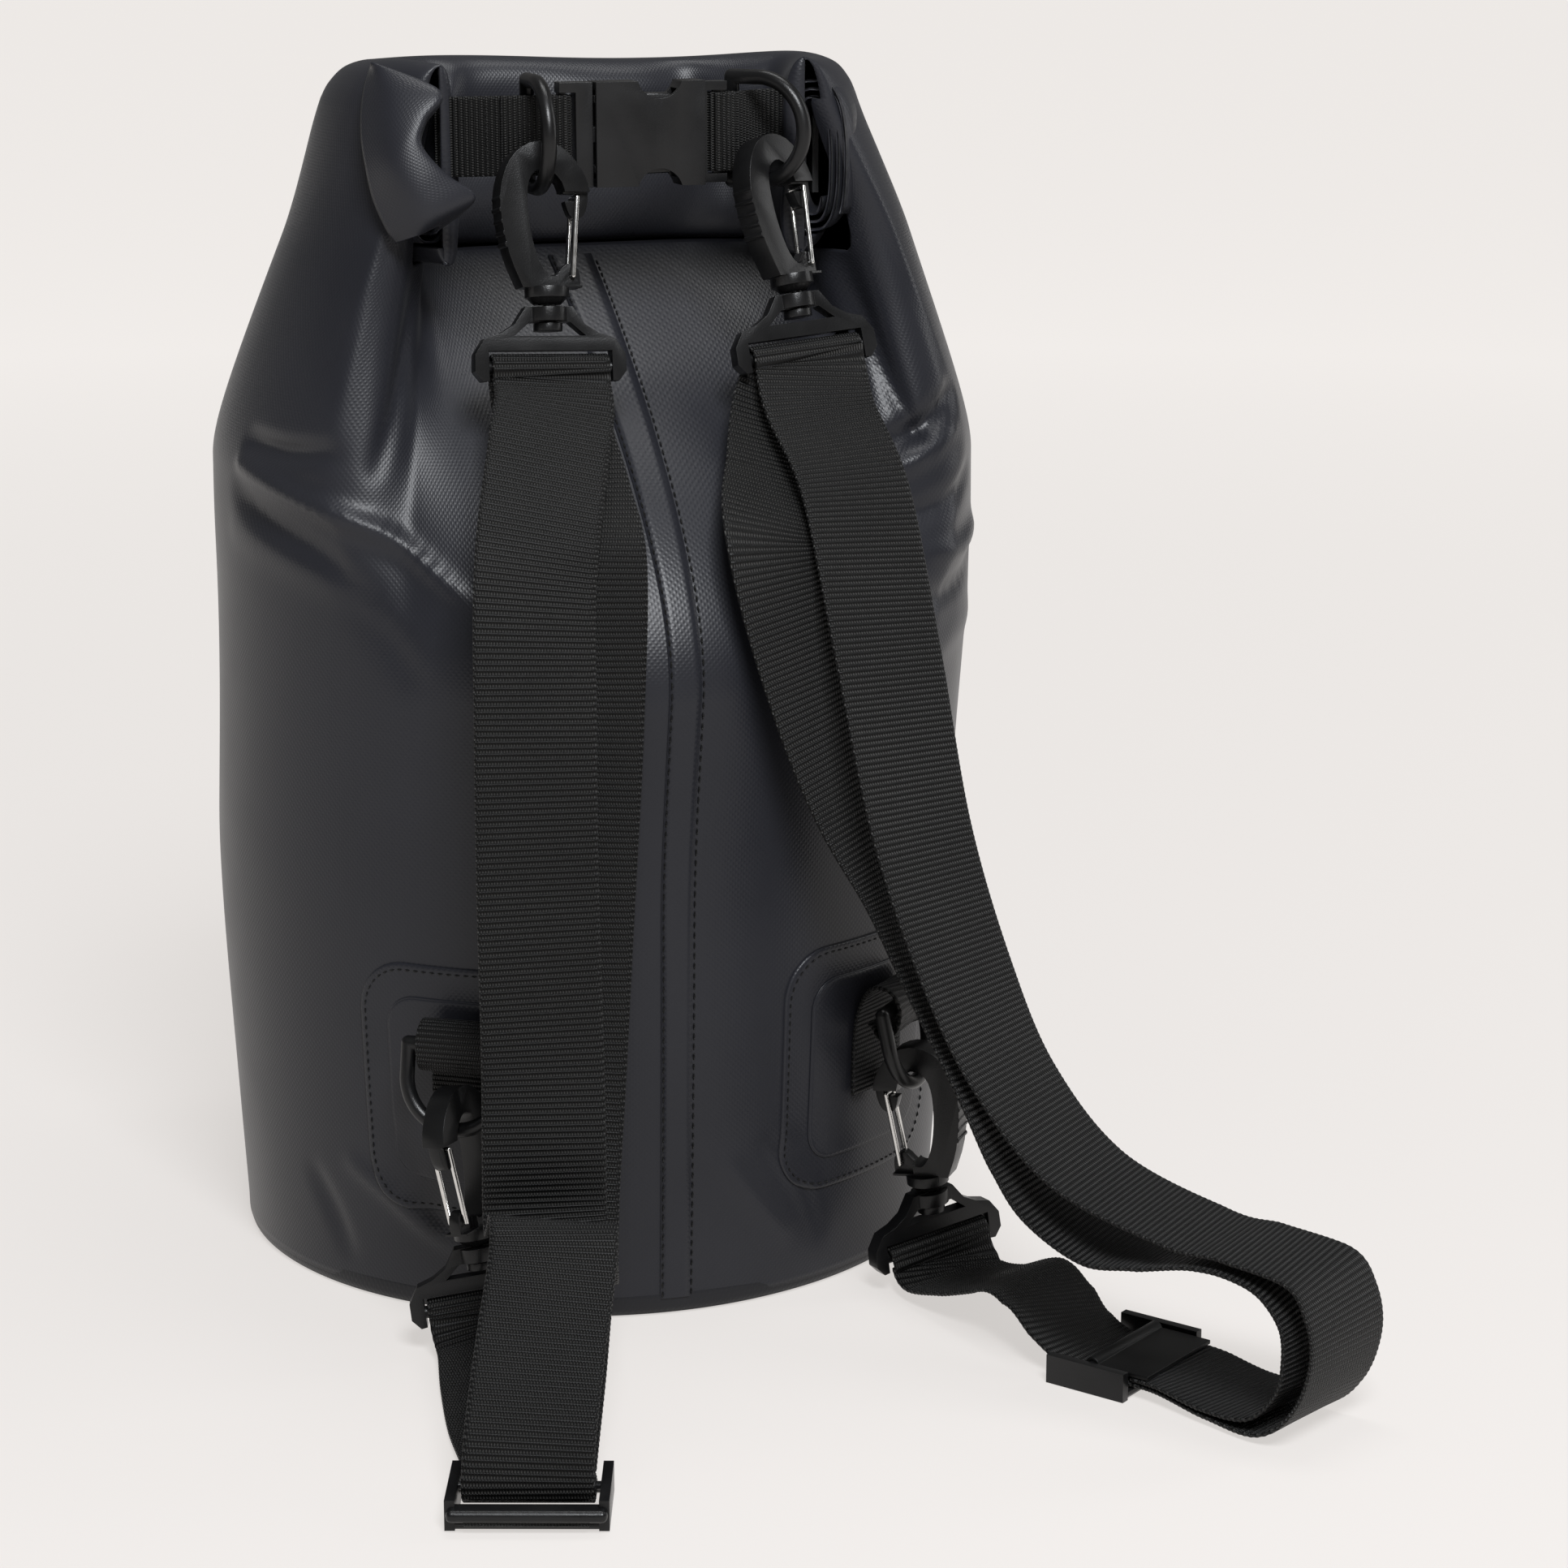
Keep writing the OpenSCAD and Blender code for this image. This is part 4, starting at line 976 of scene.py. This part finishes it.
def copy_part(name, source, mat, bevel=0, segments=0):
    """A softened copy of a CAD part: coplanar facets merged, then sharp edges rounded by bevel, in mm."""
    mesh = NODES[source].data.copy()
    mesh.name = name
    work = bmesh.new()
    work.from_mesh(mesh)
    bmesh.ops.remove_doubles(work, verts=work.verts, dist=2e-6)
    bmesh.ops.dissolve_limit(work, angle_limit=math.radians(1.2), verts=work.verts, edges=work.edges)
    work.to_mesh(mesh)
    work.free()
    mesh.materials.clear()
    mesh.materials.append(mat)
    mesh.polygons.foreach_set("use_smooth", [True] * len(mesh.polygons))
    piece = bpy.data.objects.new(name, mesh)
    bpy.context.scene.collection.objects.link(piece)
    if bevel:
        add_modifier(piece, "BEVEL", width=bevel * MM, segments=segments, limit_method="ANGLE",
                     angle_limit=SHARP, harden_normals=True)
    else:
        mesh.set_sharp_from_angle(angle=SHARP)
    return piece


CORNERS = ("top_left", "top_right", "low_left", "low_right")


def hooks():
    for corner in CORNERS:
        body = copy_part("snap_hook_" + corner, "hook_" + corner, PLASTIC, 0.75, 3)
        finish_piece(body, f"hook_{corner}_body", "plastic", "hook_" + corner)
        loop = copy_part("loop_frame_" + corner, "strap_loop_" + corner, PLASTIC, 1.1, 4)
        finish_piece(loop, ROOT, "plastic", "strap_loop_" + corner)
        ring = copy_part("ring_" + corner, "d_ring_" + corner, PLASTIC)
        finish_piece(ring, f"ring_{corner}_body", "plastic", "d_ring_" + corner)
        gate = copy_part("wire_gate_" + corner, "gate_" + corner, STEEL)
        finish_piece(gate, f"gate_{corner}_body", "steel_wire", "gate_" + corner)


def buckle():
    for name, source, body in (("socket", "buckle_socket", ROOT), ("plug", "buckle_plug", ROOT),
                               ("prong_upper", "buckle_prong_upper", "prong_upper_body"),
                               ("prong_lower", "buckle_prong_lower", "prong_lower_body")):
        piece = copy_part("clip_" + name, source, BUCKLE, 0.8, 3)
        finish_piece(piece, body, "plastic", source)


def sliders():
    sides = (("left", ROOT, 0.2), ("right", "slider_right_body", 0.3))
    for label, body, _ in sides:
        ladder = copy_part("ladder_" + label, "slider_" + label, PLASTIC, 0.6, 3)
        finish_piece(ladder, body, "plastic", "slider_" + label)
    for label, body, bevel in sides:
        fold = copy_part("fold_" + label, "sewn_end_" + label, TAPE, bevel, 2)
        finish_piece(fold, body, "webbing", "sewn_end_" + label)


hooks()
buckle()
sliders()
stiffener = NODES["stiffener_strip"].data.materials
stiffener.clear()
stiffener.append(STIFF)


# ------------------------------------------------------------------ floor and lights
def floor():
    size = 30.0         # half the floor's width, in metres
    mesh = bpy.data.meshes.new("floor")
    corners = [(-size, -size, 0), (size, -size, 0), (size, size, 0), (-size, size, 0)]
    mesh.from_pydata(corners, [], [(0, 1, 2, 3)])
    mesh.materials.append(plain_floor())
    made = bpy.data.objects.new("floor", mesh)
    bpy.context.scene.collection.objects.link(made)


def area_light(name, place, aim, size, power, colour=(1, 1, 1)):
    data = bpy.data.lights.new(name, "AREA")
    data.shape = "RECTANGLE"
    data.size, data.size_y = size
    data.energy = power
    data.color = colour
    made = bpy.data.objects.new(name, data)
    made.location = place
    made.rotation_euler = (Vector(aim) - Vector(place)).to_track_quat("-Z", "Y").to_euler()
    bpy.context.scene.collection.objects.link(made)


floor()
bpy.context.scene.view_settings.view_transform = "Standard"
world = bpy.data.worlds.new("studio")
bpy.context.scene.world = world
world.use_nodes = True
world.node_tree.nodes["Background"].inputs["Color"].default_value = (1.0, 0.985, 0.965, 1)
world.node_tree.nodes["Background"].inputs["Strength"].default_value = 0.14
area_light("key", (-0.15, -1.55, 1.75), (0, 0, 0.25), (0.7, 0.7), 58, (0.95, 0.97, 1.0))
area_light("rim", (1.7, -0.1, 0.9), (0, 0, 0.2), (0.4, 1.2), 5)
area_light("top", (0.2, 0.2, 2.0), (0, 0, 0.2), (1.0, 0.5), 10)
